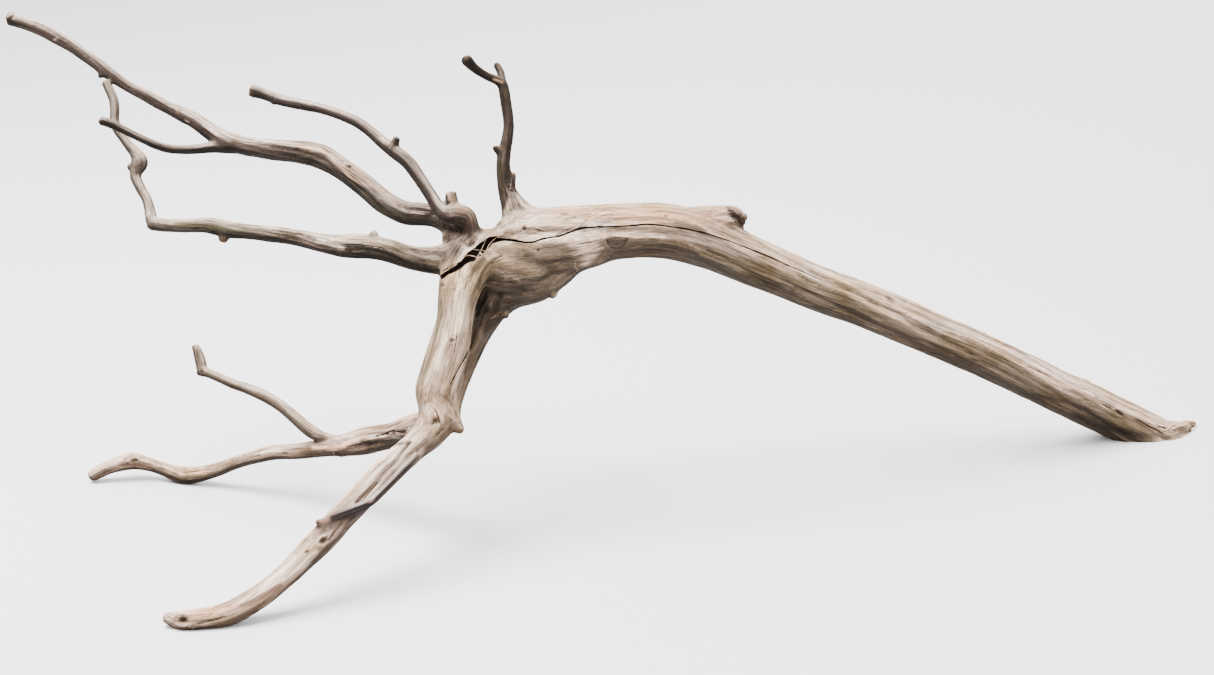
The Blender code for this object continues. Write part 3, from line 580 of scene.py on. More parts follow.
@dataclass(frozen=True)
class Crack:
    """A drying crack, opened by a wedge that is sunk along the sight.

    Attributes:
        name: Where the crack runs.
        stations: Rows of across, up and width, in millimetres on the board.
        depth: How deep its widest part goes, in millimetres.
        ragged: How far the lips wander, over the width.
        behind: Whether it lies on the far side of the wood.
        step: Distance between the wedge's sections, in millimetres.
        proud: How far the wedge stands out of the wood, in millimetres.
    """

    name: str
    stations: tuple[tuple[float, float, float], ...]
    depth: float = 4.0
    ragged: float = 0.35
    behind: bool = False
    step: float = 1.7
    proud: float = 4.0

    def blade(self, tree: BVHTree) -> bpy.types.Mesh | None:
        """Make the wedge that cuts the crack.

        Args:
            tree: The wood's faces, in metres.

        Returns:
            The wedge as a closed mesh, or None where it misses the wood.
        """
        rows = Limb(self.name, tuple((a, u, 0.0, w) for a, u, w in self.stations)).rows(self.step)
        rows = rows[:, [0, 1, 3]]
        reach = max(row[2] for row in rows)
        seed = len(self.name) * 7 + int(abs(self.stations[0][0]))
        sections = []
        for k, (across, up, width) in enumerate(rows):
            before, after = rows[max(k - 1, 0)], rows[min(k + 1, len(rows) - 1)]
            run = Vector((after[0] - before[0], after[1] - before[1])).normalized()
            hit = VIEW.strike(tree, across, up, self.behind)
            if hit is None:
                continue
            wander = lattice_noise(np.array([[k * 0.43, 0.3, 0.7], [k * 0.43, 9.3, 0.7]]), seed)
            half = [max(0.2, width * (0.5 + self.ragged * value)) for value in wander]
            drift = float(lattice_noise(np.array([[k * 0.22, 5.1, 2.2]]), seed)[0])
            drift *= 0.5 * self.ragged * width
            sections.append((across - run[1] * drift, up + run[0] * drift, run, half, hit,
                             self.depth * (0.3 + 0.7 * min(1.0, width / reach))))
        if len(sections) < 3:
            return None
        bm = bmesh.new()
        eye = Vector(VIEW.eye())
        rings = []
        for across, up, run, half, hit, depth in sections:
            aim = (hit - eye).normalized() * (-1.0 if self.behind else 1.0)
            spread = (hit - eye).length / VIEW.distance
            cross = Vector(VIEW.to_world([across - run[1], up + run[0], 0.0])[0])
            cross = (cross - Vector(VIEW.to_world([across, up, 0.0])[0])) * spread
            ring = []
            for width, sink in ((-half[0], -self.proud), (half[1], -self.proud),
                                (half[1] * 0.7, depth * 0.45), (0.12 * half[1], depth),
                                (-0.12 * half[0], depth), (-half[0] * 0.7, depth * 0.45)):
                ring.append(bm.verts.new((hit + cross * width + aim * sink) * MM))
            rings.append(ring)
        for ring in rings:
            for k in range(len(ring)):
                bm.edges.new((ring[k], ring[(k + 1) % len(ring)]))
        for lower, upper in zip(rings, rings[1:]):
            loops = [edge for ring in (lower, upper) for vert in ring for edge in vert.link_edges
                     if edge.other_vert(vert) in ring]
            bmesh.ops.bridge_loops(bm, edges=list(dict.fromkeys(loops)))
        bmesh.ops.holes_fill(bm, edges=bm.edges, sides=0)
        bmesh.ops.triangulate(bm, faces=bm.faces)
        bmesh.ops.recalc_face_normals(bm, faces=bm.faces)
        return settle(bm, bpy.data.meshes.new(self.name))


@dataclass(frozen=True)
class Fibre:
    """A torn strip of wood that bridges a crack or stands off a broken end.

    Attributes:
        stations: Rows of across, up, how far it lies behind the wood's face, and radius, in millimetres.
    """

    stations: tuple[tuple[float, float, float, float], ...]

    def limb(self, tree: BVHTree) -> "Limb | None":
        """Lay the strip on the wood.

        Args:
            tree: The wood's faces, in metres.

        Returns:
            The strip as a thin limb, or None where it misses the wood.
        """
        ahead = Vector(VIEW.to_world([0.0, 0.0, 1.0])[0] - VIEW.to_world([0.0, 0.0, 0.0])[0])
        rows = []
        for across, up, sunk, radius in self.stations:
            hit = VIEW.strike(tree, across, up)
            if hit is not None:
                away = (hit - Vector(VIEW.to_world([0.0, 0.0, 0.0])[0])).dot(ahead)
                rows.append((across, up, away + sunk, radius))
        return Limb("fibre", tuple(rows), tone=Tone.TRUNK, blunt=0.8) if len(rows) > 1 else None


@dataclass(frozen=True)
class Knot:
    """A knot, a hole or a hollow on the face of the wood.

    Attributes:
        across: Where on the board, in millimetres.
        up: Where on the board, in millimetres.
        radius: Its size, in millimetres.
        sink: How deep its middle goes, in millimetres; less than nothing for a boss.
        rim: How high its rim stands, in millimetres.
        dark: How dark its middle is, from 0 to 1.
        stretch: Its length along the board's line over its width.
        slope: The direction of its length on the board, in degrees.
        behind: Whether it lies on the far side of the wood.
    """

    across: float
    up: float
    radius: float
    sink: float = 1.5
    rim: float = 0.5
    dark: float = 0.8
    stretch: float = 1.0
    slope: float = 0.0
    behind: bool = False


CRACKS = (
    Crack("main crack", (
        (-135, 47.5, 3.2), (-131, 49.8, 4.6), (-120, 56, 4.8), (-110, 64.5, 9), (-104, 69, 10.5),
        (-97, 74.4, 9.5), (-91, 78.6, 7.4), (-84, 79, 4.6), (-79, 78.4, 3.2), (-70, 76.8, 2.2),
        (-61, 76.2, 2), (-50, 79.3, 1.9), (-40, 80.8, 2), (-30, 84, 2), (-22, 87, 1.9), (-10, 88.3, 1.7),
        (6, 88.8, 1.7), (22, 89.8, 1.6), (33, 90.5, 1.6), (50, 88.8, 1.5), (70, 85.5, 1.5), (90, 80, 1.5),
        (110, 72.5, 1.4), (130, 64.5, 1.3), (150, 55.5, 1.1), (172, 46, 0.7)), depth=11.0, ragged=0.22),
    Crack("slit beside the gash", ((-131, 53.2, 1), (-125, 57, 1.5), (-118, 60.4, 1)), depth=4.0),
    Crack("upper slit of the hub", ((-92, 59.2, 0.6), (-87, 61.4, 1.0), (-82.5, 63.4, 0.6)), depth=2.6),
    Crack("slit by the eye", ((-61, 88, 0.6), (-55, 86.2, 1.1), (-50, 85, 0.6)), depth=2.6),
    Crack("crease between the thighs",
          ((-111, -11, 0.6), (-113.5, -16, 1.1), (-118, -24, 1.2), (-122, -31.5, 1.1), (-125.5, -38, 0.6)),
          depth=3.5),
    Crack("upper check of the back thigh", ((-98.5, -8, 0.6), (-101, -13, 1.3), (-103.5, -18, 0.7)),
          depth=2.6),
    Crack("lower check of the back thigh", ((-108, -30, 0.5), (-111.5, -40, 1.2), (-114.5, -49, 0.6)),
          depth=2.6),
    Crack("check over the ankle",
          ((-139, -56, 0.6), (-136.5, -60, 1.3), (-134.5, -65, 1.5), (-134, -68, 0.8)), depth=2.8),
    Crack("check of the trunk's end",
          ((423, -64.6, 0.6), (431, -69.6, 1.3), (438, -73, 1.2), (445, -76.6, 0.7)), depth=4.0),
    Crack("nick of the trunk's end", ((440, -71.4, 0.7), (445, -72, 1.4), (449.5, -74.6, 0.8)), depth=3.0),
    Crack("long check of the trunk", ((338, -23.4, 0.4), (346, -27.4, 0.8), (354, -31.6, 0.4)), depth=2.0),
    Crack("split of the back leg", ((-186, -79, 0.5), (-180, -78, 1), (-172, -74.6, 1.4), (-163, -76.4, 1)),
          depth=2.6),
    Crack("split of the foot", ((-322, -227.6, 0.5), (-314, -226, 1), (-307, -224, 0.5)), depth=2.2),
    Crack("check of the front thigh", ((-119, 12, 0.4), (-120.5, 0, 0.9), (-122, -12, 0.4)), depth=2.0),
    Crack("check of the front leg", ((-176, -108, 0.4), (-186, -119, 1), (-196, -131, 0.5)), depth=2.2),
    Crack("check of the upper limb", ((-214, 136, 0.4), (-203, 128.6, 0.9), (-190, 118, 0.4)), depth=2.0),
    Crack("check of the middle limb", ((-212, 74.5, 0.4), (-190, 73.5, 0.9), (-168, 68.6, 0.4)), depth=2.0),
    Crack("back check of the trunk",
          ((20, 88, 0.5), (60, 86, 1.3), (110, 66, 1.6), (160, 44, 1.3), (210, 23, 0.5)),
          depth=5.0, behind=True),
    Crack("back check of the hub", ((-80, 66, 0.6), (-60, 70, 1.8), (-36, 76, 1.4), (-10, 82, 0.5)),
          depth=5.0, behind=True),
    Crack("back check of the trunk's end", ((330, -24, 0.5), (370, -44, 1.2), (410, -64, 0.5)),
          depth=4.0, behind=True),
)
FIBRES = (
    Fibre(((-108.5, 73, -0.2, 0.45), (-103, 75, 1.6, 0.4), (-98, 79, 1.8, 0.4), (-93, 83.6, -0.3, 0.3))),
    Fibre(((-104.5, 63, -0.3, 0.4), (-101, 69, 2.6, 0.4), (-97.6, 76.6, 2.8, 0.4), (-94, 84, -0.2, 0.3))),
    Fibre(((-96.6, 68.6, -0.2, 0.4), (-94, 74.4, 2.6, 0.4), (-89, 79.4, 2.2, 0.35), (-83, 82.6, -0.2, 0.3))),
    Fibre(((-113, 72, -0.2, 0.35), (-105, 70, 3.2, 0.35), (-99, 69.4, 3.0, 0.35), (-94, 67.6, -0.3, 0.3))),
    Fibre(((-114.6, 65, -0.2, 0.45), (-110, 65.6, 2.2, 0.45), (-105, 64.4, -0.2, 0.3))),
    Fibre(((-127, 55.4, -0.3, 0.4), (-121, 58.6, 0.4, 0.45), (-115, 63.6, 0.4, 0.45), (-111, 69, -0.3, 0.3))),
    Fibre(((-22.5, 88.2, 0.0, 0.45), (-20.4, 90.4, -0.8, 0.4), (-18.4, 92.4, -1.4, 0.3))),
    Fibre(((-88, 80.4, -0.2, 0.4), (-80, 79.2, 0.8, 0.4), (-72, 78.6, -0.3, 0.3))),
    Fibre(((446, -75, -0.4, 0.8), (453, -70, -0.8, 0.7), (458, -66.4, -1.0, 0.4))),
    Fibre(((452, -73, -0.4, 0.9), (461, -70.6, -1.0, 0.8), (468, -67, -1.4, 0.4))),
    Fibre(((440, -70, 0.0, 0.6), (448, -71.6, -0.8, 0.6), (455, -74.6, -0.4, 0.4))),
    Fibre(((-77.4, 118, -0.4, 0.8), (-76, 127, -1.0, 0.7), (-74.6, 133, -1.2, 0.4))),
    Fibre(((-82, 8.6, 0.0, 0.6), (-88, 15.6, -0.6, 0.7), (-81.6, 18.6, -1.2, 0.5))),
)
KNOTS = (
    Knot(-206, 136.5, 2.6, sink=1.2, rim=0.5, dark=0.75),
    Knot(-66, 87, 2.2, sink=1.6, rim=0.5, dark=0.9),
    Knot(-55, 70, 1.7, sink=1.8, rim=0.3, dark=0.9),
    Knot(-77, 43.5, 3.6, sink=1.4, rim=0.9, dark=0.55, stretch=1.4),
    Knot(-97, 22, 3.8, sink=2.2, rim=0.5, dark=0.95),
    Knot(47, 97, 1.5, sink=1.2, rim=0.2, dark=0.8),
    Knot(301.6, 3.6, 1.6, sink=-0.8, rim=0.0, dark=0.6),
    Knot(-227, -163, 3.0, sink=1.6, rim=0.5, dark=0.75, stretch=1.4, slope=30),
    Knot(-240, -171.6, 1.5, sink=0.9, rim=0.2, dark=0.6, stretch=1.8, slope=40),
    Knot(-339.5, -226.5, 5.0, sink=4.6, rim=0.4, dark=0.4, stretch=1.1),
    Knot(-137, -66, 3.0, sink=1.6, rim=0.5, dark=0.75),
    Knot(-171, -77.6, 3.2, sink=1.8, rim=0.3, dark=0.35, stretch=2.6, slope=10),
    Knot(-190, -85, 2.6, sink=1.0, rim=0.3, dark=0.8, stretch=1.9, slope=8),
    Knot(-183, -89.6, 1.9, sink=0.9, rim=0.4, dark=0.75),
    Knot(-123.5, -2.4, 1.8, sink=0.7, rim=0.5, dark=0.5, stretch=1.6),
    Knot(-131.5, 41.5, 2.2, sink=0.8, rim=0.6, dark=0.5),
    Knot(-378, -99, 2.6, sink=0.8, rim=0.5, dark=0.5, stretch=1.6, slope=-14),
    Knot(-324, -27.5, 2.0, sink=0.8, rim=0.4, dark=0.5),
    Knot(226, 30.5, 3.2, sink=0.7, rim=0.4, dark=0.5, stretch=2.0, slope=-24),
    Knot(410, -60, 2.6, sink=0.8, rim=0.4, dark=0.55, stretch=2.2, slope=-27),
    Knot(392, -49, 2.0, sink=0.5, rim=0.3, dark=0.4, stretch=2.0, slope=-27),
    Knot(-20, 78, 5.0, sink=1.4, rim=1.1, dark=0.6, stretch=1.3, behind=True),
    Knot(150, 46, 4.0, sink=1.4, rim=0.8, dark=0.6, stretch=1.5, slope=-24, behind=True),
    Knot(300, -15, 3.4, sink=1.0, rim=0.7, dark=0.6, stretch=1.5, slope=-24, behind=True),
    Knot(-250, -184, 3.0, sink=1.2, rim=0.6, dark=0.6, behind=True),
    Knot(-240, 147, 2.6, sink=1.0, rim=0.5, dark=0.6, behind=True),
    Knot(-95, 60, 4.2, sink=1.6, rim=0.9, dark=0.7, behind=True),
)


@dataclass(frozen=True)
class Mark:
    """One of the marks that follow a line on the face of the wood: stains, bleached bands, furrows and
    ridges, and bands of painted shade and painted highlight.

    Attributes:
        stations: Rows of across, up and half width, in millimetres on the board.
        color: How it looks, as an sRGB colour.
        share: How far it covers the wood's own colour.
        lift: How high it stands, in millimetres; less than nothing for a furrow.
        step: Distance between the spots that it is painted with, in millimetres.
        reach: How far a spot's soft rim goes, over its half width.
    """

    stations: tuple[tuple[float, float, float], ...]
    color: str
    share: float
    lift: float = 0.0
    step: float = 1.3
    reach: float = 1.4

    def cover(self, tree: BVHTree, points: np.ndarray) -> tuple[np.ndarray, np.ndarray]:
        """Work out how much of the mark each point gets.

        Args:
            tree: The wood's faces, in metres.
            points: The points, in millimetres.

        Returns:
            The numbers of the points that it reaches, and their shares from 0 to 1.
        """
        rows = np.array(self.stations, dtype=float)
        if len(rows) == 1:
            rows = np.vstack([rows, rows + [0.1, 0.0, 0.0]])
        line = Limb("mark", tuple((a, u, 0.0, w) for a, u, w in rows)).rows(self.step)
        spots, widths = [], []
        for across, up, _, width in line:
            hit = VIEW.strike(tree, across, up)
            if hit is not None:
                spots.append(hit[:])
                widths.append(width)
        if not spots:
            return np.zeros(0, dtype=int), np.zeros(0)
        spots, widths = np.array(spots), np.array(widths)
        room = widths.max() * self.reach
        inside = np.all((points > spots.min(axis=0) - room) & (points < spots.max(axis=0) + room), axis=1)
        chosen = np.nonzero(inside)[0]
        nearest = np.full(len(chosen), 9.0)
        for spot, width in zip(spots, widths):
            away = np.sqrt(((points[chosen] - spot) ** 2).sum(axis=1)) / width
            nearest = np.minimum(nearest, away)
        return chosen, 1.0 - smoothstep(0.15, self.reach, nearest)


MARKS = (
    # The trunk's crown, the painted sheen under the long crack, the stains along its flank
    # and painted shade along its underside.
    Mark(((-70, 98, 6), (-30, 100, 7), (10, 98, 8), (50, 98, 8), (90, 94, 8)), "#d2bba1", 0.5),
    # Painted sheen: pale bands under the long crack stand in for a highlight.
    Mark(((-28, 78, 5), (-21, 73, 9), (-14, 67, 9), (-17, 60, 4)), "#d5c9bf", 0.65),
    Mark(((-24, 76, 2.5), (-20, 72, 3), (-17, 68, 3)), "#e4dcd6", 0.55),
    Mark(((50, 84, 3), (70, 80, 4), (90, 74, 4.5), (110, 66, 4), (128, 60.5, 3)), "#c9bdb2", 0.55),
    Mark(((78, 66, 4), (100, 64, 5), (125, 57, 4), (150, 48, 4), (175, 40, 5), (190, 33, 4)),
         "#7f7050", 0.35),
    # Painted shade along the underside of the trunk and hub.
    Mark(((-28, 50, 3), (-10, 61, 2.5), (10, 66.5, 2.5), (40, 67, 3), (60, 62, 4), (85, 54, 5), (110, 45, 5),
          (140, 35, 4)), "#6b5b4d", 0.35),
    Mark(((2, 76.6, 2.4), (8, 75.2, 3.8), (13.6, 76.6, 2.4)), "#65554a", 0.85, -0.5),
    Mark(((-0.4, 78.4, 1.2), (1.4, 74.2, 1.2), (7.7, 70.8, 1.2), (14, 74.2, 1.2), (16, 78.4, 1.2)),
         "#3b2f26", 0.85, -0.4),
    Mark(((0, 79, 1), (8, 79.3, 1), (15.6, 79, 1)), "#4c3e33", 0.7),
    Mark(((92, 86.5, 2.5), (104, 79.5, 3), (118, 73.5, 2)), "#96734f", 0.5),
    Mark(((-37, 99.5, 3), (-32, 98.5, 3)), "#8d735c", 0.55),
    Mark(((160, 56, 1.5), (175, 50, 2), (190, 43, 2)), "#b08e74", 0.45),
    Mark(((200, 43, 1), (212, 39, 1), (222, 33, 2), (229, 28.5, 2)), "#775f50", 0.55),
    Mark(((240, 28.4, 0.8), (246, 25.6, 0.8)), "#5b4a40", 0.7),
    # Painted sheen: a broken pale band along the upper flank stands in for a highlight.
    Mark(((258, 17, 2), (290, 3.5, 3.4), (320, -9.5, 4), (350, -24, 4), (380, -40, 3.6), (400, -50.5, 2.6),
          (420, -61, 3), (440, -69, 2.4), (452, -72.5, 2)), "#efe7e2", 0.6),
    Mark(((230, 33, 1.6), (260, 19.5, 1.6), (300, 2.5, 1.8), (350, -19.5, 1.6), (400, -43.5, 1.6),
          (440, -62, 1.4)), "#9c8571", 0.75),
    Mark(((265, 11, 1), (280, 5, 0.8), (300, -6.5, 0.8), (318, -15, 0.8)), "#6b5240", 0.65, -0.3),
    Mark(((336, -23, 0.7), (346, -27, 0.8), (356, -31, 0.7)), "#6b5240", 0.7, -0.3),
    Mark(((310, -30, 2), (330, -38, 2), (350, -47, 1.5)), "#6c6552", 0.5),
    Mark(((220, 10, 2), (235, 4, 2.2), (250, -2, 1.5)), "#3e2d22", 0.6),
    Mark(((260, -5, 1.6), (285, -16, 1.8), (305, -25, 1.2)), "#3a2b21", 0.55),
    Mark(((336, -45, 3), (360, -50, 2.5), (385, -57, 2), (400, -63, 2)), "#33251b", 0.6),
    Mark(((372, -42, 2.5), (388, -50, 3), (402, -56, 2.5)), "#7d5c4c", 0.5),
    Mark(((397, -53.5, 1.6), (405, -58.5, 1.8), (412, -62, 2)), "#4c352a", 0.65, -0.3),
    Mark(((414, -64, 3), (424, -70, 4), (436, -75, 4)), "#7e5e50", 0.55),
    Mark(((375, -62, 7), (395, -70, 8), (420, -77, 6), (438, -79, 4)), "#372a20", 0.7),
    Mark(((425, -62.6, 0.9), (434, -67.2, 0.9), (441, -70, 0.8)), "#f4e8de", 0.8, 0.5),
    Mark(((190, 27, 7), (240, 7, 8), (300, -18, 8), (350, -41, 7), (390, -59, 6)), "#75655a", 0.2),
    # The twig's foot and the skin round the eye.
    Mark(((-84, 92, 2.5), (-81, 100, 3), (-77, 109, 3)), "#cfc8bb", 0.6),
    Mark(((-73, 116, 1.4), (-66, 106, 2.4), (-58, 102, 2.6)), "#e6ddd6", 0.75),
    Mark(((-69, 90, 1), (-66, 89.6, 1), (-62, 88.6, 1)), "#e5d8c8", 0.7, 0.8),
    Mark(((-63, 85, 1), (-56, 84, 0.9), (-50, 83, 0.8)), "#e9ddcf", 0.6, 0.5),
    Mark(((-53, 94, 3), (-46, 93, 3)), "#d8ccc6", 0.5),
    # The neck under the curl, with painted shade in its hollow, and the lips of the gash.
    # Painted shade in the hollow under the curl.
    Mark(((-130, 88, 4), (-121, 86, 5), (-114, 86, 5), (-109, 82, 4.5), (-108, 76, 3.5)), "#2b201a", 0.85),
    Mark(((-126, 101, 4), (-118, 102, 5), (-110, 101, 4.5), (-107, 95, 3)), "#a5978c", 0.75),
    Mark(((-124, 113, 3), (-123.6, 108, 3)), "#bfae9b", 0.75),
    Mark(((-105.5, 98, 3), (-104, 90, 3), (-101, 86, 2.4)), "#8a7b71", 0.65),
    Mark(((-128, 80, 5), (-124, 74, 6), (-120, 68, 5)), "#564838", 0.7),
    Mark(((-103, 84, 2), (-99, 89, 2), (-97, 94, 2)), "#7b6250", 0.6),
    Mark(((-136, 60, 4), (-126, 62, 4)), "#9a8c7a", 0.55),
    Mark(((-129, 64, 6), (-120, 73, 8), (-112, 81, 7), (-104, 88, 5)), "#63544a", 0.8),
    Mark(((-133, 67, 8), (-150, 69, 7), (-168, 72, 5)), "#5c4d43", 0.6),
    Mark(((-131, 51.6, 0.9), (-124, 54.6, 1), (-118, 58, 0.9)), "#ddd2c0", 0.8, 0.6),
    Mark(((-110, 74, 4), (-105, 78, 3.5)), "#8a7362", 0.5),
    Mark(((-126, 50, 2), (-115, 56, 2.4), (-104, 64, 2.4), (-94, 71, 2)), "#cfc3b0", 0.6),
    Mark(((-88, 80.8, 0.9), (-76, 79.4, 0.9), (-62, 78.6, 0.8), (-50, 81, 0.8)), "#7b6350", 0.6),
    Mark(((-40, 82, 0.9), (-30, 86.6, 0.9), (-20, 91.4, 0.8)), "#6e5645", 0.6, -0.3),
    # The belly, painted lighter along its top and into shade towards its underside and in the bay beside it.
    # Painted light and shade: these bands darken from the belly's top down to its underside and into the bay.
    Mark(((-94, 52, 4), (-88, 57, 4), (-75, 57, 5), (-62, 53, 6)), "#9a8464", 0.5),
    Mark(((-96, 45, 3.5), (-80, 46, 3), (-70, 44, 3)), "#7b6a5b", 0.4),
    Mark(((-97, 37.5, 2.5), (-84, 36, 3.6), (-66, 35.5, 3.6), (-50, 37, 3.4)), "#55463a", 0.55),
    Mark(((-44, 53, 4), (-34, 53.5, 3), (-28, 51.5, 2.5)), "#5d4c42", 0.5),
    Mark(((-36, 64, 3), (-33, 58, 3)), "#6f5a4c", 0.4),
    # Painted light on the belly's upper part.
    Mark(((-58, 68, 4), (-48, 65, 4), (-41, 67, 4)), "#b5a390", 0.4),
    Mark(((-80, 72, 3), (-66, 73, 2.5), (-54, 74, 2.5)), "#c3b29e", 0.5),
    Mark(((-84, 65, 0.9), (-91, 61, 1.5), (-97, 55, 1.8), (-101, 47, 2), (-103, 39, 1.6)),
         "#6a5c4b", 0.6, -1.0),
    Mark(((-25.5, 61, 0.7), (-25, 56, 0.7), (-24, 53.6, 0.7)), "#d8cfc6", 0.5, 0.3),
    # Between the thighs, painted shade in the hollow.
    # Painted shade in the hollow between the thighs.
    Mark(((-98, 34, 6), (-101, 25, 7), (-104, 12, 5), (-106.5, 2, 3.4), (-109, -8, 2)), "#211b13", 0.93),
    Mark(((-88, 28, 4), (-92, 18, 5), (-97, 5, 5)), "#4b382d", 0.7),
    Mark(((-93, 15.5, 0.9), (-87, 17.5, 1), (-81.5, 18, 0.9)), "#b9aca0", 0.5, 0.7),
    # The front thigh, with a painted sheen down its middle and painted shade along its right edge.
    # Painted sheen down the middle of the front thigh.
    Mark(((-113, 54, 4), (-116, 42, 6.5), (-118, 25, 6.5), (-120, 10, 6), (-123, 3, 3)), "#e6dfd5", 0.75),
    Mark(((-133, 44, 2), (-134, 34, 3), (-134, 20, 3.4), (-135.5, 8, 3), (-139, -6, 3), (-143, -20, 3),
          (-147, -32, 3.4)), "#746a54", 0.65),
    # Painted shade along the thigh's right edge.
    Mark(((-103, 46, 1.6), (-107.5, 30, 2.2), (-109, 15, 2), (-110, 4, 1.5)), "#857562", 0.6),
    Mark(((-127, 3, 2.2), (-130, -5, 3), (-134, -14, 3.6), (-136, -24, 2.6)), "#e8e2d9", 0.65),
    Mark(((-131, -34, 7), (-133, -44, 8), (-134, -54, 5)), "#b5a08a", 0.45),
    Mark(((-125, -3.5, 2.4), (-124, -8, 2.4), (-127, -16, 2)), "#9b7c6c", 0.5),
    Mark(((-146, -16, 1.8), (-148, -26, 2.2), (-151, -38, 2.2), (-153, -48, 2)), "#584839", 0.7),
    Mark(((-148, -35, 1.4), (-149, -38, 1.4)), "#3a2c23", 0.7, -0.4),
    Mark(((-128, -48, 1.4), (-124, -54, 1.2)), "#8d6f5a", 0.55, -0.5),
    Mark(((-146, -53, 2), (-142, -51, 1.5)), "#8d705c", 0.5, -0.4),
    # The back thigh.
    Mark(((-109.6, -12, 0.8), (-115.6, -21.5, 0.9), (-123.6, -36, 0.8)), "#e3d8cc", 0.7, 0.7),
    Mark(((-114, -22, 1.8), (-118, -31, 2.4), (-121, -42, 2.4), (-120, -53, 1.8)), "#ddd3cc", 0.6),
    Mark(((-98, -6, 2), (-103, -19, 2), (-108, -31, 2), (-112, -44, 2)), "#513b30", 0.75),
    Mark(((-107, -12, 2), (-112, -22, 2), (-114, -34, 1.6), (-117, -46, 1.4)), "#86685c", 0.55),
    # The ankle.
    Mark(((-147, -62, 2.2), (-143.5, -70, 2.6)), "#b28c66", 0.55),
    Mark(((-140, -60, 2.4), (-138, -64, 2)), "#d6b49c", 0.55, 0.6),
    Mark(((-140, -68.8, 2), (-134.5, -68, 1.8)), "#3d3129", 0.8, -0.8),
    Mark(((-141, -76, 2), (-146, -84, 2.2), (-152, -91, 2)), "#7b5f57", 0.65, -0.6),
    Mark(((-131, -73.5, 1), (-136, -78, 1)), "#4b3934", 0.75, -0.8),
    Mark(((-124, -66, 0.9), (-128.5, -69.5, 0.9)), "#5b4840", 0.7, -0.6),
    Mark(((-121, -60, 1.8), (-120, -64, 1.6)), "#5a493d", 0.6, -0.4),
    # Painted highlights on the raised ridges of the web.
    Mark(((-133.4, -58, 0.9), (-131, -68, 1)), "#efe6dc", 0.75, 0.7),
    Mark(((-128, -61, 1), (-121.6, -66.5, 1)), "#ece2d6", 0.65, 0.5),
    Mark(((-116, -75, 1.6), (-126, -78, 1.5), (-136, -85, 1.5), (-146, -93, 1.4)), "#6e5d4c", 0.6),
    # The front leg and the dark twig over it.
    Mark(((-157, -84, 1.5), (-164, -92, 2), (-172, -102, 2.2), (-180, -110, 2), (-187, -119, 2),
          (-196, -128, 1.8), (-201, -132, 1.2)), "#7e5d4a", 0.8, -1.2),
    Mark(((-168, -90, 2.2), (-178, -101, 3.2), (-188, -112, 4), (-198, -122, 4), (-208, -131, 3)),
         "#e9e3dc", 0.55),
    Mark(((-176, -97, 0.8), (-190, -109, 0.9), (-205, -124, 0.8), (-216, -136, 0.8)), "#7b6656", 0.65, -0.4),
    Mark(((-153, -83, 2), (-164, -98, 2), (-175, -109, 2.2), (-184, -120, 2), (-192, -127, 1.5)),
         "#d8ccc1", 0.5, 0.8),
    Mark(((-151, -95, 1.6), (-160, -104, 2), (-170, -114, 2), (-180, -124, 1.8), (-186, -130, 1.8)),
         "#261f22", 0.9),
    Mark(((-189, -133, 2.2), (-200, -136.4, 3.2), (-212, -141, 3.4), (-220, -144, 3)), "#383137", 0.92),
    Mark(((-193, -131.6, 1), (-188, -130.4, 1)), "#bb9c94", 0.7),
    Mark(((-224, -145.6, 2), (-228, -147.6, 2)), "#b1927a", 0.85),
    Mark(((-231.5, -149.5, 3.2),), "#4b3b2c", 0.9),
    Mark(((-212, -149, 1), (-218, -156, 1.2), (-222, -162, 1)), "#6c5046", 0.75, -0.7),
    Mark(((-200, -149, 2), (-215, -165, 2), (-232, -181, 2), (-250, -197, 2), (-266, -212, 2)),
         "#6e5f50", 0.6),
    Mark(((-241, -162, 1.5), (-246, -168, 1.4), (-250, -172, 1)), "#6c4f40", 0.75, -0.4),
    Mark(((-235, -172, 4), (-250, -184, 4.6), (-262, -192, 4.6), (-272, -196, 3)), "#e9e3dc", 0.6),
    Mark(((-260, -196.6, 1.6), (-270, -203, 2.4), (-282, -209.6, 2.4), (-293, -214.5, 1.8)), "#8f7468", 0.6),
    # Painted shade along the underside of the foot.
    Mark(((-268, -213.6, 1.4), (-285, -221, 1.8), (-305, -228.6, 2.2), (-322, -232, 1.8),
          (-342, -233.4, 1.5)), "#4a3a32", 0.8),
    Mark(((-298, -213, 4), (-315, -218, 4), (-332, -220.6, 4)), "#d3b496", 0.6),
    Mark(((-306, -223.6, 0.9), (-318, -226.4, 1), (-327, -229.4, 1)), "#413430", 0.8, -0.7),
    Mark(((-334, -231, 0.9), (-330, -231.4, 0.9)), "#e6dccd", 0.6, 0.4),
    Mark(((-344, -222, 2), (-346, -226, 2)), "#9f7a4c", 0.7, -0.6),
    Mark(((-340, -226.5, 3.6),), "#84644a", 0.7),
    Mark(((-354, -224.6, 2.2), (-350, -223, 2)), "#b4ae9d", 0.6),
    # The back leg.
    Mark(((-160, -67, 2), (-180, -72, 2.4), (-200, -78.6, 2.6)), "#c3b29e", 0.55),
    Mark(((-184, -79, 1), (-176, -77, 1.2), (-171, -74.5, 1.2), (-166, -76, 1.5), (-161.5, -76, 1.8)),
         "#2c1f1b", 0.88, -0.9),
    Mark(((-174, -79, 2.2), (-167, -79.4, 2.6)), "#a39d94", 0.85, 0.3),
    # Painted shade along the back leg's underside.
    Mark(((-160, -84, 2), (-175, -86.6, 2.4), (-188, -90, 2.2), (-205, -93.6, 1.6), (-225, -94.4, 1.5),
          (-250, -96, 1.2)), "#443322", 0.85),
    Mark(((-195, -84, 1.8), (-188, -85.4, 2.4), (-184, -85, 1.5)), "#452f36", 0.9, -0.5),
    Mark(((-203, -86.4, 0.9), (-208, -83.4, 0.9), (-213, -81, 0.9)), "#6f4d46", 0.75, -0.5),
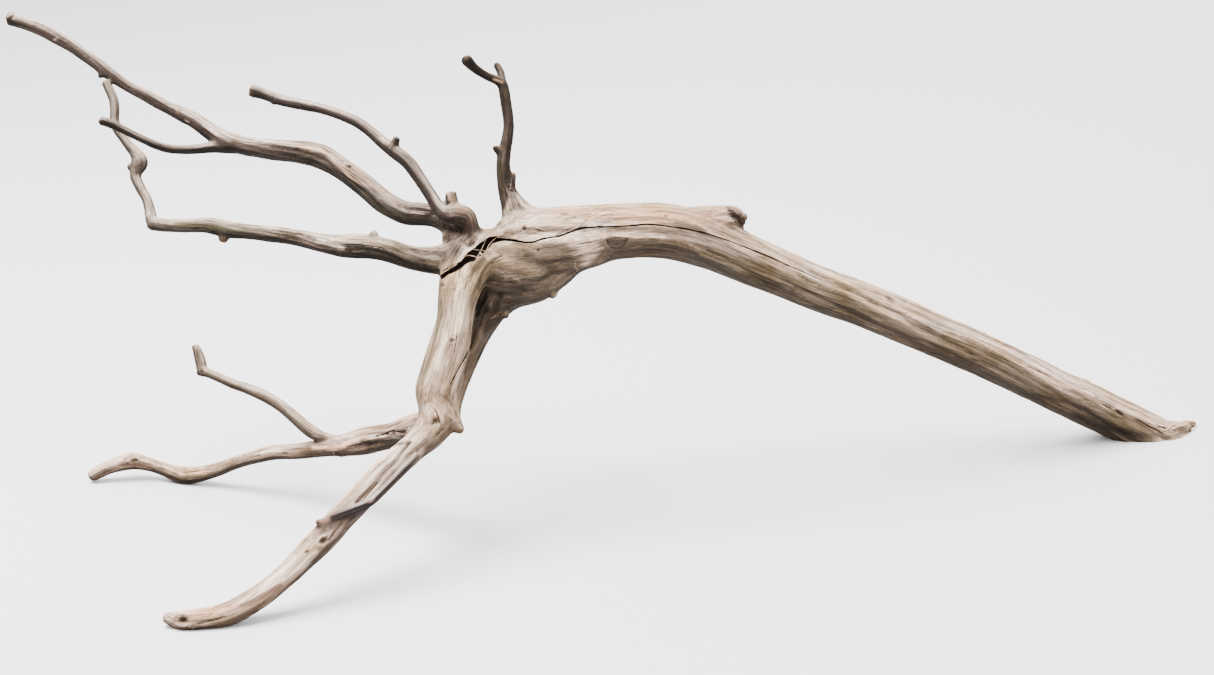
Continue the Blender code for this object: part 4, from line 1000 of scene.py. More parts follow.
    Mark(((-212, -86, 0.8), (-217, -83.6, 0.8), (-221, -80.6, 0.8)), "#6f5248", 0.6, -0.4),
    Mark(((-199, -81.6, 2.2), (-215, -87.6, 2.6), (-235, -87.6, 2.6)), "#e0d3c6", 0.6),
    Mark(((-157.5, -72.6, 1.4), (-160.5, -77, 1.4)), "#d9cfcb", 0.6),
    Mark(((-161, -72.4, 0.8), (-153, -69.4, 0.8)), "#43302d", 0.85, -0.7),
    Mark(((-157, -62.6, 0.8), (-152, -60.8, 0.8)), "#5b463c", 0.7, -0.4),
    Mark(((-279, -91, 0.8), (-271, -89.6, 0.8)), "#4b3f37", 0.85, -0.5),
    Mark(((-259, -92.6, 1), (-256, -92.6, 1)), "#5c5047", 0.7, -0.3),
    Mark(((-262, -89.6, 2.2), (-276, -92.4, 2.2)), "#e0ddd6", 0.55),
    Mark(((-290, -94.6, 0.8), (-296, -97.4, 0.8), (-301, -99, 0.8)), "#7b5b50", 0.7, -0.3),
    Mark(((-364, -106, 1.4), (-352, -110.4, 2), (-338, -115, 2.5), (-325, -114, 2), (-312, -111, 1.4),
          (-295, -104, 1.2)), "#39291f", 0.85),
    Mark(((-388, -101.6, 1.3), (-376, -101.2, 1.5), (-364, -101, 1)), "#9b786c", 0.6),
    Mark(((-386, -97.4, 0.8), (-381, -95, 0.8)), "#4f3f38", 0.8, -0.4),
    Mark(((-379, -99, 1), (-375.5, -97.8, 1)), "#4a302c", 0.8, -0.4),
    Mark(((-362, -98.6, 0.9), (-357, -101, 0.9)), "#43342e", 0.8, -0.4),
    Mark(((-356, -103.8, 0.8), (-351, -106, 0.8)), "#5b4a43", 0.65),
    Mark(((-407, -110, 1.2), (-411, -114, 1.4)), "#77624e", 0.7),
    Mark(((-322, -107, 2.6), (-334, -108.6, 2.2)), "#dcc8b4", 0.5),
    # The upper limb, with painted highlights along its top and painted shade along its underside.
    # Painted highlights along the top of the upper limb.
    Mark(((-163, 106, 2.2), (-180, 116.6, 2.6), (-192, 126, 2.6), (-205, 135.6, 2.4)), "#c9b9a9", 0.55),
    Mark(((-190, 121, 2.2), (-205, 130, 2.4), (-214, 138, 2.2), (-226, 148, 2.6), (-245, 152, 2)),
         "#dcd0c6", 0.6),
    # Painted shade along the lower side of the upper limb.
    Mark(((-163, 96, 3), (-180, 103.4, 3.4), (-195, 115.4, 3)), "#5f5744", 0.6),
    Mark(((-229, 152.4, 0.8), (-222, 148.2, 0.8), (-211, 140.6, 0.8)), "#6b5040", 0.75, -0.4),
    Mark(((-167.4, 106, 1), (-165.4, 103.6, 1)), "#3f3229", 0.8, -0.5),
    # Painted shade under the upper limb's root.
    Mark(((-138, 101, 2), (-150, 94, 2), (-158, 92, 1.5)), "#40352a", 0.7),
    Mark(((-343, 181, 2), (-341, 184, 1.6)), "#b19a80", 0.6, 0.4),
    Mark(((-337, 173.6, 1), (-335, 172.6, 1)), "#d5cbc4", 0.4, 0.4),
    Mark(((-330, 170, 3.4), (-345, 179, 4), (-380, 199, 4.2), (-406, 218, 4), (-432, 234.6, 4),
          (-458, 246.6, 4), (-472, 252, 3)), "#5f4c44", 0.5),
    Mark(((-440, 239.4, 1.2), (-442, 238.4, 1)), "#c9bfb8", 0.6, 0.3),
    # Painted highlight along the top of its far part.
    Mark(((-352, 190, 1.8), (-366, 197, 2), (-384, 206, 2)), "#dccfca", 0.55),
    Mark(((-478, 254.4, 2), (-476, 257, 1.6)), "#3a2f29", 0.8, -0.5),
    # The middle limb, with painted shade along its underside.
    Mark(((-212, 73, 3), (-222, 77, 3.2), (-232, 77.6, 1.8)), "#e4dfda", 0.5),
    Mark(((-133, 71, 1), (-142, 71.4, 1.4), (-155, 75, 1.3), (-167, 79.4, 1)), "#503d31", 0.75),
    # Painted shade along the middle limb's underside.
    Mark(((-138, 53, 2), (-155, 56.4, 2.4), (-170, 61, 2.4), (-185, 63.6, 2.4), (-200, 64.2, 1.8),
          (-212, 65.4, 1.5)), "#32251e", 0.85),
    Mark(((-240, 84.4, 0.9), (-250, 86.2, 1), (-262, 87.4, 0.9)), "#7b5a50", 0.65),
    Mark(((-248, 83.6, 1.1), (-256, 83.4, 1.2), (-268, 84.6, 1.1)), "#e0d8cf", 0.7),
    Mark(((-275, 84, 2.8), (-295, 86, 3), (-320, 90, 3.4), (-345, 90, 2.8)), "#7d7459", 0.65),
    Mark(((-204.6, 69, 1.3), (-205.4, 67.6, 1.3)), "#43362d", 0.8, -0.5),
    Mark(((-186, 76, 3), (-198, 77.4, 3), (-210, 77.6, 2)), "#b7a58f", 0.5),
    Mark(((-133, 64.6, 0.9), (-132.4, 63, 0.9)), "#3b2c24", 0.8, -0.4),
    # The upright twig, the thin limb and its curl, with painted shade along the thin limb's underside and a
    # painted highlight on its top.
    Mark(((-83, 196, 1.6), (-80.6, 180, 1.8), (-78.6, 165, 2), (-79.4, 150, 2), (-80, 136, 2),
          (-79, 124, 1.6)), "#2f2118", 0.65),
    Mark(((-86, 140, 2), (-85.4, 130, 2.4), (-83, 120, 2.2)), "#4c412d", 0.65),
    Mark(((-78, 119.6, 1.6), (-76, 117, 1.6)), "#4b2c20", 0.75, -0.3),
    Mark(((-90, 206.4, 1.2), (-86, 205.6, 1.6), (-83.4, 204.6, 1.6)), "#cdbcaa", 0.65),
    # Painted shade along the thin limb's underside.
    Mark(((-137.6, 103, 1.6), (-147, 118, 1.9), (-157, 133, 2), (-167, 144, 2), (-180, 153, 1.6),
          (-200, 169, 1.4)), "#352820", 0.75),
    Mark(((-133, 109, 1), (-141, 121, 1)), "#4e3e35", 0.5),
    # Painted highlight on the top of the thin limb.
    Mark(((-175, 156, 2), (-181, 160, 1.8)), "#d9ccc4", 0.65),
    Mark(((-126, 108.6, 1.5), (-128, 106.6, 1.5)), "#352b24", 0.85, -0.8),
    Mark(((-118, 103, 3), (-110, 103, 3)), "#c3ab94", 0.5),
    Mark(((-169, 158.6, 2),), "#3a2c27", 0.85),
    # The stump's broken end.
    Mark(((97, 103.4, 3), (101.5, 99.6, 4.6), (105.5, 95.4, 5.2), (108.6, 90, 4.6), (110, 85.4, 2.6)),
         "#493a31", 0.95),
    Mark(((108, 98, 1), (110.6, 92, 1)), "#33271f", 0.8, -0.5),
    Mark(((97, 99.6, 0.8), (101, 95, 0.8), (106, 88, 0.8)), "#2c2019", 0.75),
    # The trunk's broken end.
    Mark(((441, -77, 2.4), (446, -79, 3), (455, -78, 3), (463, -75, 2.6)), "#8c7f70", 0.85),
    Mark(((462, -69.6, 2), (469, -69, 2)), "#cfc2b2", 0.8),
    Mark(((450, -76, 0.9), (458, -74.2, 0.9), (464, -72.4, 0.8)), "#2c231c", 0.85, -0.5),
    Mark(((443, -80, 0.9), (450, -80, 0.9)), "#3a3026", 0.7),
)


def lattice_noise(points: np.ndarray, seed: int) -> np.ndarray:
    """Work out smooth noise from values at the corners of a unit lattice.

    Args:
        points: Where to read it, one point a row.
        seed: Which noise it is.

    Returns:
        A value from -1 to 1 for each point.
    """
    base = np.floor(points).astype(np.int64)
    part = points - base
    fade = part * part * (3.0 - 2.0 * part)
    total = np.zeros(len(points))
    for corner in range(8):
        step = np.array([corner & 1, (corner >> 1) & 1, (corner >> 2) & 1])
        cell = base + step
        key = (cell[:, 0] * 374761393 + cell[:, 1] * 668265263 + cell[:, 2] * 2246822519 + seed * 3266489917)
        key = ((key & 0xFFFFFFFF) ^ ((key & 0xFFFFFFFF) >> 15)) * 2246822519 & 0xFFFFFFFF
        key = (key ^ (key >> 13)) * 3266489917 & 0xFFFFFFFF
        value = ((key ^ (key >> 16)) & 0xFFFF) / 32767.5 - 1.0
        total += value * np.prod(np.where(step, fade, 1.0 - fade), axis=1)
    return total


def smoothstep(low: float, high: float, value: np.ndarray) -> np.ndarray:
    """Return 0 below low, 1 above high and an eased value between."""
    t = np.clip((value - low) / (high - low), 0.0, 1.0)
    return t * t * (3.0 - 2.0 * t)


def evaluated(obj: bpy.types.Object) -> bpy.types.Mesh:
    """Apply an object's modifiers.

    Args:
        obj: The object, whose modifiers are taken off.

    Returns:
        A new mesh with their result.
    """
    bpy.context.view_layer.update()
    mesh = bpy.data.meshes.new_from_object(obj.evaluated_get(bpy.context.evaluated_depsgraph_get()))
    obj.modifiers.clear()
    return mesh


def two_lowest(values: np.ndarray) -> tuple[np.ndarray, np.ndarray]:
    """Find the lowest and the second lowest value in each column.

    Args:
        values: A table of at least two rows.

    Returns:
        The row numbers of the lowest, and those of the second lowest.
    """
    two = np.argpartition(values, 1, axis=0)[:2]
    each = np.arange(values.shape[1])
    swap = values[two[0], each] > values[two[1], each]
    return np.where(swap, two[1], two[0]), np.where(swap, two[0], two[1])


@dataclass
class Skin:
    """Arrays of one state of the wood's mesh, in millimetres."""

    points: np.ndarray
    normals: np.ndarray
    edges: np.ndarray

    @classmethod
    def read(cls, mesh: bpy.types.Mesh) -> "Skin":
        """Read a mesh.

        Args:
            mesh: The wood's mesh, in metres.

        Returns:
            Its points, normals and edges.
        """
        points = np.empty(len(mesh.vertices) * 3)
        mesh.vertices.foreach_get("co", points)
        normals = np.empty(len(mesh.vertices) * 3)
        mesh.vertices.foreach_get("normal", normals)
        edges = np.empty(len(mesh.edges) * 2, dtype=int)
        mesh.edges.foreach_get("vertices", edges)
        return cls(points.reshape(-1, 3) / MM, normals.reshape(-1, 3), edges.reshape(-1, 2))

    def put(self, mesh: bpy.types.Mesh) -> None:
        """Move a mesh's points to these."""
        mesh.vertices.foreach_set("co", (self.points * MM).ravel())
        mesh.update()

    def neighbour_mean(self, values: np.ndarray) -> np.ndarray:
        """Average values over the points joined to each point.

        Args:
            values: One row for each point.

        Returns:
            Rows of the same shape.
        """
        count = len(self.points)
        ends = np.concatenate([self.edges[:, 0], self.edges[:, 1]])
        others = np.concatenate([self.edges[:, 1], self.edges[:, 0]])
        degree = np.maximum(np.bincount(ends, minlength=count), 1)[:, None]
        flat = values.reshape(count, -1)
        total = np.stack([np.bincount(ends, column[others], count) for column in flat.T], axis=1)
        return (total / degree).reshape(values.shape)


@dataclass
class Survey:
    """Where points lie on the limbs.

    Attributes:
        gap: Distance from each limb's skin, one row for each limb, in millimetres.
        grain: Each limb's own straightened coordinates: two across it and one along it.
        radius: Each limb's radius next to each point.
        left: How far each limb still runs on to its tip, in millimetres.
    """

    gap: np.ndarray
    grain: np.ndarray
    radius: np.ndarray
    left: np.ndarray

    def order(self) -> tuple[np.ndarray, np.ndarray]:
        """Return the nearest and the second nearest limb of each point."""
        return two_lowest(self.gap)


@dataclass
class DriftwoodBranch:
    """The whole branch, grown from its limbs into one weathered skin.

    Attributes:
        limbs: The runs of wood.
        voxel: Grid on which the limbs grow together, in millimetres.
        step: Distance between the sections of a limb, in millimetres.
        growth: What the easing takes off a limb and is added first, in millimetres.
        ease_rounds: How often the joints are eased.
        triangles: How many triangles the skin keeps before the cracks are cut.
        runs: The sampled limbs, once they are grown.
    """

    limbs: tuple[Limb, ...]
    voxel: float = 1.25
    step: float = 2.0
    growth: float = 0.75
    ease_rounds: int = 28
    triangles: int = 174000
    runs: list[Run] = field(default_factory=list)

    def survey(self, points: np.ndarray, reach: float = 26.0) -> Survey:
        """Measure where points lie on every limb.

        Args:
            points: The points, in millimetres.
            reach: How far from a limb its measures are still worth having.

        Returns:
            The measures, with gaps of OUT_OF_REACH past the reach.
        """
        shape = (len(self.limbs), len(points))
        found = Survey(np.full(shape, OUT_OF_REACH, np.float32), np.zeros((*shape, 3), np.float32),
                       np.ones(shape, np.float32), np.full(shape, OUT_OF_REACH, np.float32))
        for number, run in enumerate(self.runs):
            room = run.radii.max() + reach
            inside = np.all((points > run.centres.min(axis=0) - room)
                            & (points < run.centres.max(axis=0) + room), axis=1)
            chosen = np.nonzero(inside)[0]
            near = points[chosen]
            gap = np.full(len(near), OUT_OF_REACH)
            index = np.zeros(len(near), dtype=int)
            for k, centre in enumerate(run.centres):
                away = np.sqrt(((near - centre) ** 2).sum(axis=1)) - run.radii[k]
                nearer = away < gap
                gap[nearer] = away[nearer]
                index[nearer] = k
            arm = near - run.centres[index]
            slide = (arm * run.along[index]).sum(axis=1)
            slide = np.clip(slide, -2.0 * self.step, 2.0 * self.step)
            arm -= run.along[index] * slide[:, None]
            across = (arm * run.side[index]).sum(axis=1)
            deep = (arm * run.deep[index]).sum(axis=1)
            length = run.length[index] + slide
            found.gap[number, chosen] = gap
            found.grain[number, chosen] = np.stack([across, deep, length + GRAIN_SHIFT * number], axis=1)
            found.radius[number, chosen] = run.radii[index]
            found.left[number, chosen] = run.length[-1] - length
        return found

    def per_limb(self, name: str) -> np.ndarray:
        """Return one of the limbs' values, limb by limb."""
        return np.array([getattr(limb, name) for limb in self.limbs])

    def grow(self) -> bpy.types.Object:
        """Grow the limbs together into one even skin.

        Returns:
            The object, at the origin.
        """
        self.runs = [limb.sweep(self.step, self.growth) for limb in self.limbs]
        bm = bmesh.new()
        for limb in self.limbs:
            mesh = limb.mesh(self.step, self.growth)
            bm.from_mesh(mesh)
            bpy.data.meshes.remove(mesh)
        bmesh.ops.triangulate(bm, faces=bm.faces)
        wood = placed(PIECE, settle(bm, bpy.data.meshes.new(PIECE)))
        together = wood.modifiers.new("grow together", "REMESH")
        together.mode = "VOXEL"
        together.voxel_size = self.voxel * MM
        together.adaptivity = 0.0
        wood.data = evaluated(wood)
        self.keep_largest(wood.data)
        return wood

    @staticmethod
    def keep_largest(mesh: bpy.types.Mesh) -> None:
        """Leave only the largest connected surface of a mesh.

        Args:
            mesh: The wood's mesh.
        """
        count = len(mesh.vertices)
        edges = Skin.read(mesh).edges
        label = np.arange(count)
        while True:
            low = np.minimum(label[edges[:, 0]], label[edges[:, 1]])
            new = label.copy()
            np.minimum.at(new, edges[:, 0], low)
            np.minimum.at(new, edges[:, 1], low)
            new = new[new]
            if np.array_equal(new, label):
                break
            label = new
        largest = np.bincount(label).argmax()
        if np.all(label == largest):
            return
        bm = edited(mesh)
        bm.verts.ensure_lookup_table()
        loose = [bm.verts[k] for k in np.nonzero(label != largest)[0]]
        bmesh.ops.delete(bm, geom=loose, context="VERTS")
        settle(bm, mesh)

    def ease(self, mesh: bpy.types.Mesh) -> None:
        """Ease the joints between the limbs, more on thick wood than on twigs.

        Args:
            mesh: The wood's mesh.
        """
        skin = Skin.read(mesh)
        found = self.survey(skin.points)
        nearest, _ = found.order()
        radius = found.radius[nearest, np.arange(len(skin.points))]
        share = np.clip((radius - 2.5) / 10.0, 0.0, 1.0)[:, None] ** 1.2
        for number in range(self.ease_rounds):
            weight = 0.5 * share if number > 1 else 0.25 + 0.25 * share
            skin.points += (skin.neighbour_mean(skin.points) - skin.points) * weight
        skin.put(mesh)

    def relief(self, found: Survey, which: np.ndarray, points: np.ndarray) -> tuple[np.ndarray, np.ndarray]:
        """Work out how far the weathered surface stands proud of a limb's smooth one.

        Args:
            found: Where the points lie on the limbs.
            which: The limb to follow, for each point.
            points: The points, in millimetres.

        Returns:
            Heights in millimetres, and the part of them that comes from the weather's furrows.
        """
        each = np.arange(len(points))
        grain = found.grain[which, each].astype(float)
        radius = found.radius[which, each].astype(float)
        flutes = self.per_limb("flutes")[which]
        rise = self.per_limb("relief")[which]
        turns = np.array([limb.twist / run.length[-1] for limb, run in zip(self.limbs, self.runs)])[which]
        length = grain[:, 2] - GRAIN_SHIFT * which
        angle = np.arctan2(grain[:, 1], grain[:, 0])
        turn = flutes * (angle + 2 * math.pi * turns * length) + which
        ribs = rise * radius * (0.6 * np.sin(turn) + 0.4 * np.sin(2 * turn + 1.3 + 0.02 * length))
        strong = np.clip(radius / 14.0, 0.22, 1.15)
        broad = lattice_noise(grain / [8.0, 8.0, 85.0], 3)
        groove = lattice_noise(grain / [4.2, 4.2, 70.0], 5)
        narrow = lattice_noise(grain / [2.4, 2.4, 38.0], 7)
        lumps = lattice_noise(points / 13.0, 11)
        furrow = self.per_limb("furrow")[which]
        cut = np.clip(1.0 - np.abs(groove) / 0.1, 0.0, 1.0)
        height = furrow * (0.34 * broad + 0.2 * narrow - 0.45 * cut)
        left = found.left[which, each]
        ragged = self.per_limb("ragged")[which]
        tip = np.clip(1.0 - left / np.maximum(1.2 * radius, 3.0), 0.0, 1.0)
        broken = ragged * tip * lattice_noise(points / 2.6, 13)
        return ribs + strong * (height + 0.22 * lumps) + broken, height

    def weather(self, mesh: bpy.types.Mesh) -> None:
        """Raise ribs, cut grooves and sink knots into the eased wood.

        Args:
            mesh: The wood's mesh.
        """
        skin = Skin.read(mesh)
        found = self.survey(skin.points)
        first, second = found.order()
        each = np.arange(len(skin.points))
        lead = found.gap[second, each] - found.gap[first, each]
        share = 0.5 * (1.0 - smoothstep(0.0, JOINT_SPAN, lead))
        height = (1.0 - share) * self.relief(found, first, skin.points)[0]
        height += share * self.relief(found, second, skin.points)[0]
        tree = self.tree(mesh)
        for knot in KNOTS:
            distance = self.knot_distance(knot, tree, skin.points)
            if distance is None:
                continue
            bowl = 1.0 - smoothstep(0.0, 1.0, distance)
            ring = np.exp(-((distance - 1.25) / 0.32) ** 2)
            height += knot.rim * ring - knot.sink * bowl
        for mark in MARKS:
            if mark.lift:
                reached, cover = mark.cover(tree, skin.points)
                height[reached] += mark.lift * cover
        skin.points += skin.normals * height[:, None]
        skin.put(mesh)

    @staticmethod
    def tree(mesh: bpy.types.Mesh) -> BVHTree:
        """Make the tree that sight lines are traced in.

        Args:
            mesh: The wood's mesh.

        Returns:
            Its faces, in metres.
        """
        bm = edited(mesh)
        tree = BVHTree.FromBMesh(bm)
        bm.free()
        return tree

    @staticmethod
    def knot_distance(knot: Knot, tree: BVHTree, points: np.ndarray) -> np.ndarray | None:
        """Measure points from a knot's middle, over its radius.

        Args:
            knot: The knot.
            tree: The wood's faces.
            points: The points, in millimetres.

        Returns:
            The distances, or None where the knot's sight line misses the wood.
        """
        hit = VIEW.strike(tree, knot.across, knot.up, knot.behind)
        if hit is None:
            return None
        slope = math.radians(knot.slope)
        ahead = VIEW.to_world([knot.across + math.cos(slope), knot.up + math.sin(slope), 0.0])[0]
        ahead = ahead - VIEW.to_world([knot.across, knot.up, 0.0])[0]
        ahead /= np.linalg.norm(ahead)
        arm = points - np.array(hit)
        along = arm @ ahead
        rest = np.sqrt(np.maximum((arm ** 2).sum(axis=1) - along ** 2, 0.0))
        return np.hypot(along / knot.stretch, rest) / knot.radius

    def thin(self, wood: bpy.types.Object) -> None:
        """Bring the skin down to its number of triangles, keeping the sharpest forms.

        Args:
            wood: The branch.
        """
        wood.data.calc_loop_triangles()
        fewer = wood.modifiers.new("fewer faces", "DECIMATE")
        fewer.ratio = min(1.0, self.triangles / len(wood.data.loop_triangles))
        fewer.use_collapse_triangulate = True
        wood.data = evaluated(wood)

    def split(self, wood: bpy.types.Object, inside: bpy.types.Material) -> None:
        """Open the cracks with wedges.

        Args:
            wood: The branch, whose first material is set already.
            inside: The material of the cracks' walls.
        """
        tree = self.tree(wood.data)
        wood.data.materials.append(inside)
        for crack in CRACKS:
            mesh = crack.blade(tree)
            if mesh is None:
                LOG.warning("%s misses the wood", crack.name)
                continue
            mesh.materials.append(wood.data.materials[0])
            mesh.materials.append(inside)
            mesh.polygons.foreach_set("material_index", [1] * len(mesh.polygons))
            blade = placed(crack.name, mesh)
            cut = wood.modifiers.new(crack.name, "BOOLEAN")
            cut.operation = "DIFFERENCE"
            cut.solver = "MANIFOLD"
            cut.material_mode = "INDEX"
            cut.object = blade
            before = len(wood.data.polygons)
            result = evaluated(wood)
            if len(result.polygons) > 0.9 * before:
                wood.data = result
            else:
                LOG.warning("%s was not cut", crack.name)
            bpy.data.objects.remove(blade, do_unlink=True)

    @staticmethod
    def fray(mesh: bpy.types.Mesh, tree: BVHTree) -> None:
        """Add the torn strips.

        Args:
            mesh: The wood's mesh.
            tree: The wood's faces before the cracks opened.
        """
        bm = edited(mesh)
        for fibre in FIBRES:
            limb = fibre.limb(tree)
            if limb is None:
                continue
            strip = limb.mesh(FIBRE_STEP, 0.0)
            bm.from_mesh(strip)
            bpy.data.meshes.remove(strip)
        bmesh.ops.triangulate(bm, faces=[face for face in bm.faces if len(face.verts) > 3])
        settle(bm, mesh)

    @staticmethod
    def stand(mesh: bpy.types.Mesh) -> None:
        """Cut the wood flat where it stands on the ground.

        Args:
            mesh: The wood's mesh.
        """
        bm = edited(mesh)
        cut = bmesh.ops.bisect_plane(bm, geom=bm.verts[:] + bm.edges[:] + bm.faces[:], dist=1e-7,
                                     plane_co=(0, 0, 0), plane_no=(0, 0, -1), clear_outer=True)
        rim = [item for item in cut["geom_cut"] if isinstance(item, bmesh.types.BMEdge)]
        bmesh.ops.holes_fill(bm, edges=rim, sides=0)
        bmesh.ops.triangulate(bm, faces=bm.faces)
        settle(bm, mesh)

    def mark(self, mesh: bpy.types.Mesh) -> None:
        """Write the attributes that the materials read.

        On the corners: grain and grain_near, the straightened coordinates along the two nearest limbs, and
        near, the share of the second. On the points: crown, flank and under, the colours that hold the wood's
        tone and bleaching with painted light above and painted shade below, and shade; knot, how dark a knot
        is;
        stain and stained, the marks' colour and share, painted shade and highlights among them; hollow, how
        deep a point lies among its neighbours; rise, the height of the furrows; coarse, how strong they are;
        and end, how near a broken tip is.

        Args:
            mesh: The finished mesh, all triangles.
        """
        skin = Skin.read(mesh)
        count = len(skin.points)
        found = self.survey(skin.points)
        corners = np.empty(len(mesh.loops), dtype=int)
        mesh.loops.foreach_get("vertex_index", corners)
        faces = corners.reshape(-1, 3)
        first, second = (np.repeat(limb, 3) for limb in two_lowest(found.gap[:, faces].mean(axis=2)))
        lead = found.gap[second, corners] - found.gap[first, corners]
        near = 0.5 * (1.0 - np.clip(lead / JOINT_SPAN, -1.0, 1.0))
        self.write(mesh, "grain", "FLOAT_VECTOR", "CORNER", found.grain[first, corners])
        self.write(mesh, "grain_near", "FLOAT_VECTOR", "CORNER", found.grain[second, corners])
        self.write(mesh, "near", "FLOAT", "CORNER", near)

        weight = np.exp(-np.maximum(found.gap, 0.0) / 5.0)
        weight /= weight.sum(axis=0)
        # The crown, flank and under colours hold painted light above and painted shade below, besides the
        # wood's bleaching.
        for part, name in enumerate(("crown", "flank", "under")):
            tones = np.array([limb.tone.linear(part) for limb in self.limbs])
            color = np.concatenate([weight.T @ tones, np.ones((count, 1))], axis=1)
            self.write(mesh, name, "FLOAT_COLOR", "POINT", color)

        shades = np.array([limb.tone.shade for limb in self.limbs])
        self.write(mesh, "shade", "FLOAT", "POINT", weight.T @ shades)

        tree = self.tree(mesh)
        dark = np.zeros(count)
        for knot in KNOTS:
            distance = self.knot_distance(knot, tree, skin.points)
            if distance is not None:
                dark = np.maximum(dark, knot.dark * (1.0 - smoothstep(0.35, 1.5, distance)))
        self.write(mesh, "knot", "FLOAT", "POINT", dark)

        # The marks paint stains and bands of the wood's own colour, and painted shade and painted highlights.
        stain_and_painted_light, share = np.zeros((count, 4)), np.zeros(count)
        stain_and_painted_light[:, 3] = 1.0
        for mark in MARKS:
            reached, cover = mark.cover(tree, skin.points)
            cover = (cover * mark.share)[:, None]
            under = share[reached, None] * (1.0 - cover)
            total = np.maximum(cover + under, 1e-6)
            stain_and_painted_light[reached, :3] = (cover * bare_rgb(mark.color) + under * stain_and_painted_light[reached, :3]) / total
            share[reached] = total[:, 0]
        self.write(mesh, "stain_and_painted_light", "FLOAT_COLOR", "POINT", stain_and_painted_light)
        self.write(mesh, "stain_and_painted_light_share", "FLOAT", "POINT", share)

        smooth = skin.points.copy()
        for _ in range(5):
            smooth = skin.neighbour_mean(smooth)
        hollow = ((smooth - skin.points) * skin.normals).sum(axis=1)
        for _ in range(2):
            hollow = skin.neighbour_mean(hollow)
        self.write(mesh, "hollow", "FLOAT", "POINT", hollow)

        first, _ = found.order()
        each = np.arange(count)
        self.write(mesh, "rise", "FLOAT", "POINT", self.relief(found, first, skin.points)[1])
        coarse = np.clip((weight.T @ self.per_limb("furrow") - 0.3) / 0.6, 0.0, 1.0)
        self.write(mesh, "coarse", "FLOAT", "POINT", coarse)
        ragged = self.per_limb("ragged")[first]
        left = found.left[first, each]
        end = np.where(ragged > 0, 1.0 - smoothstep(0.0, 5.0, left), 0.0)
        self.write(mesh, "end", "FLOAT", "POINT", end)

    @staticmethod
    def write(mesh: bpy.types.Mesh, name: str, kind: str, domain: str, values: np.ndarray) -> None:
        """Write one attribute of a mesh.

        Args:
            mesh: The mesh.
            name: The attribute's name.
            kind: Its data type.
            domain: POINT or CORNER.
            values: Its values, in order.
        """
        layer = mesh.attributes.new(name, kind, domain)
        key = {"FLOAT": "value", "FLOAT_VECTOR": "vector", "FLOAT_COLOR": "color"}[kind]
        layer.data.foreach_set(key, np.ascontiguousarray(values, dtype=np.float32).ravel())

    def build(self, finish: "WoodFinish") -> bpy.types.Object:
        """Grow, ease, weather, split and dress the branch.

        Args:
            finish: The look of the wood.

        Returns:
            The finished object.
        """
        wood = self.grow()
        LOG.info("skin grown: %d points", len(wood.data.vertices))
        self.ease(wood.data)
        self.weather(wood.data)
        self.thin(wood)
        wood.data.materials.clear()
        wood.data.materials.append(finish.surface())
        whole = self.tree(wood.data)
        self.split(wood, finish.inside())
        self.stand(wood.data)
        self.keep_largest(wood.data)
        self.fray(wood.data, whole)
        self.mark(wood.data)
        wood.data.shade_smooth()
        wood.data.set_sharp_from_angle(angle=math.radians(62.0))
        wood.data.name = PIECE
        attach(wood, BODY)
        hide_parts(NODE)
        LOG.info("branch dressed: %d faces", len(wood.data.polygons))
        return wood


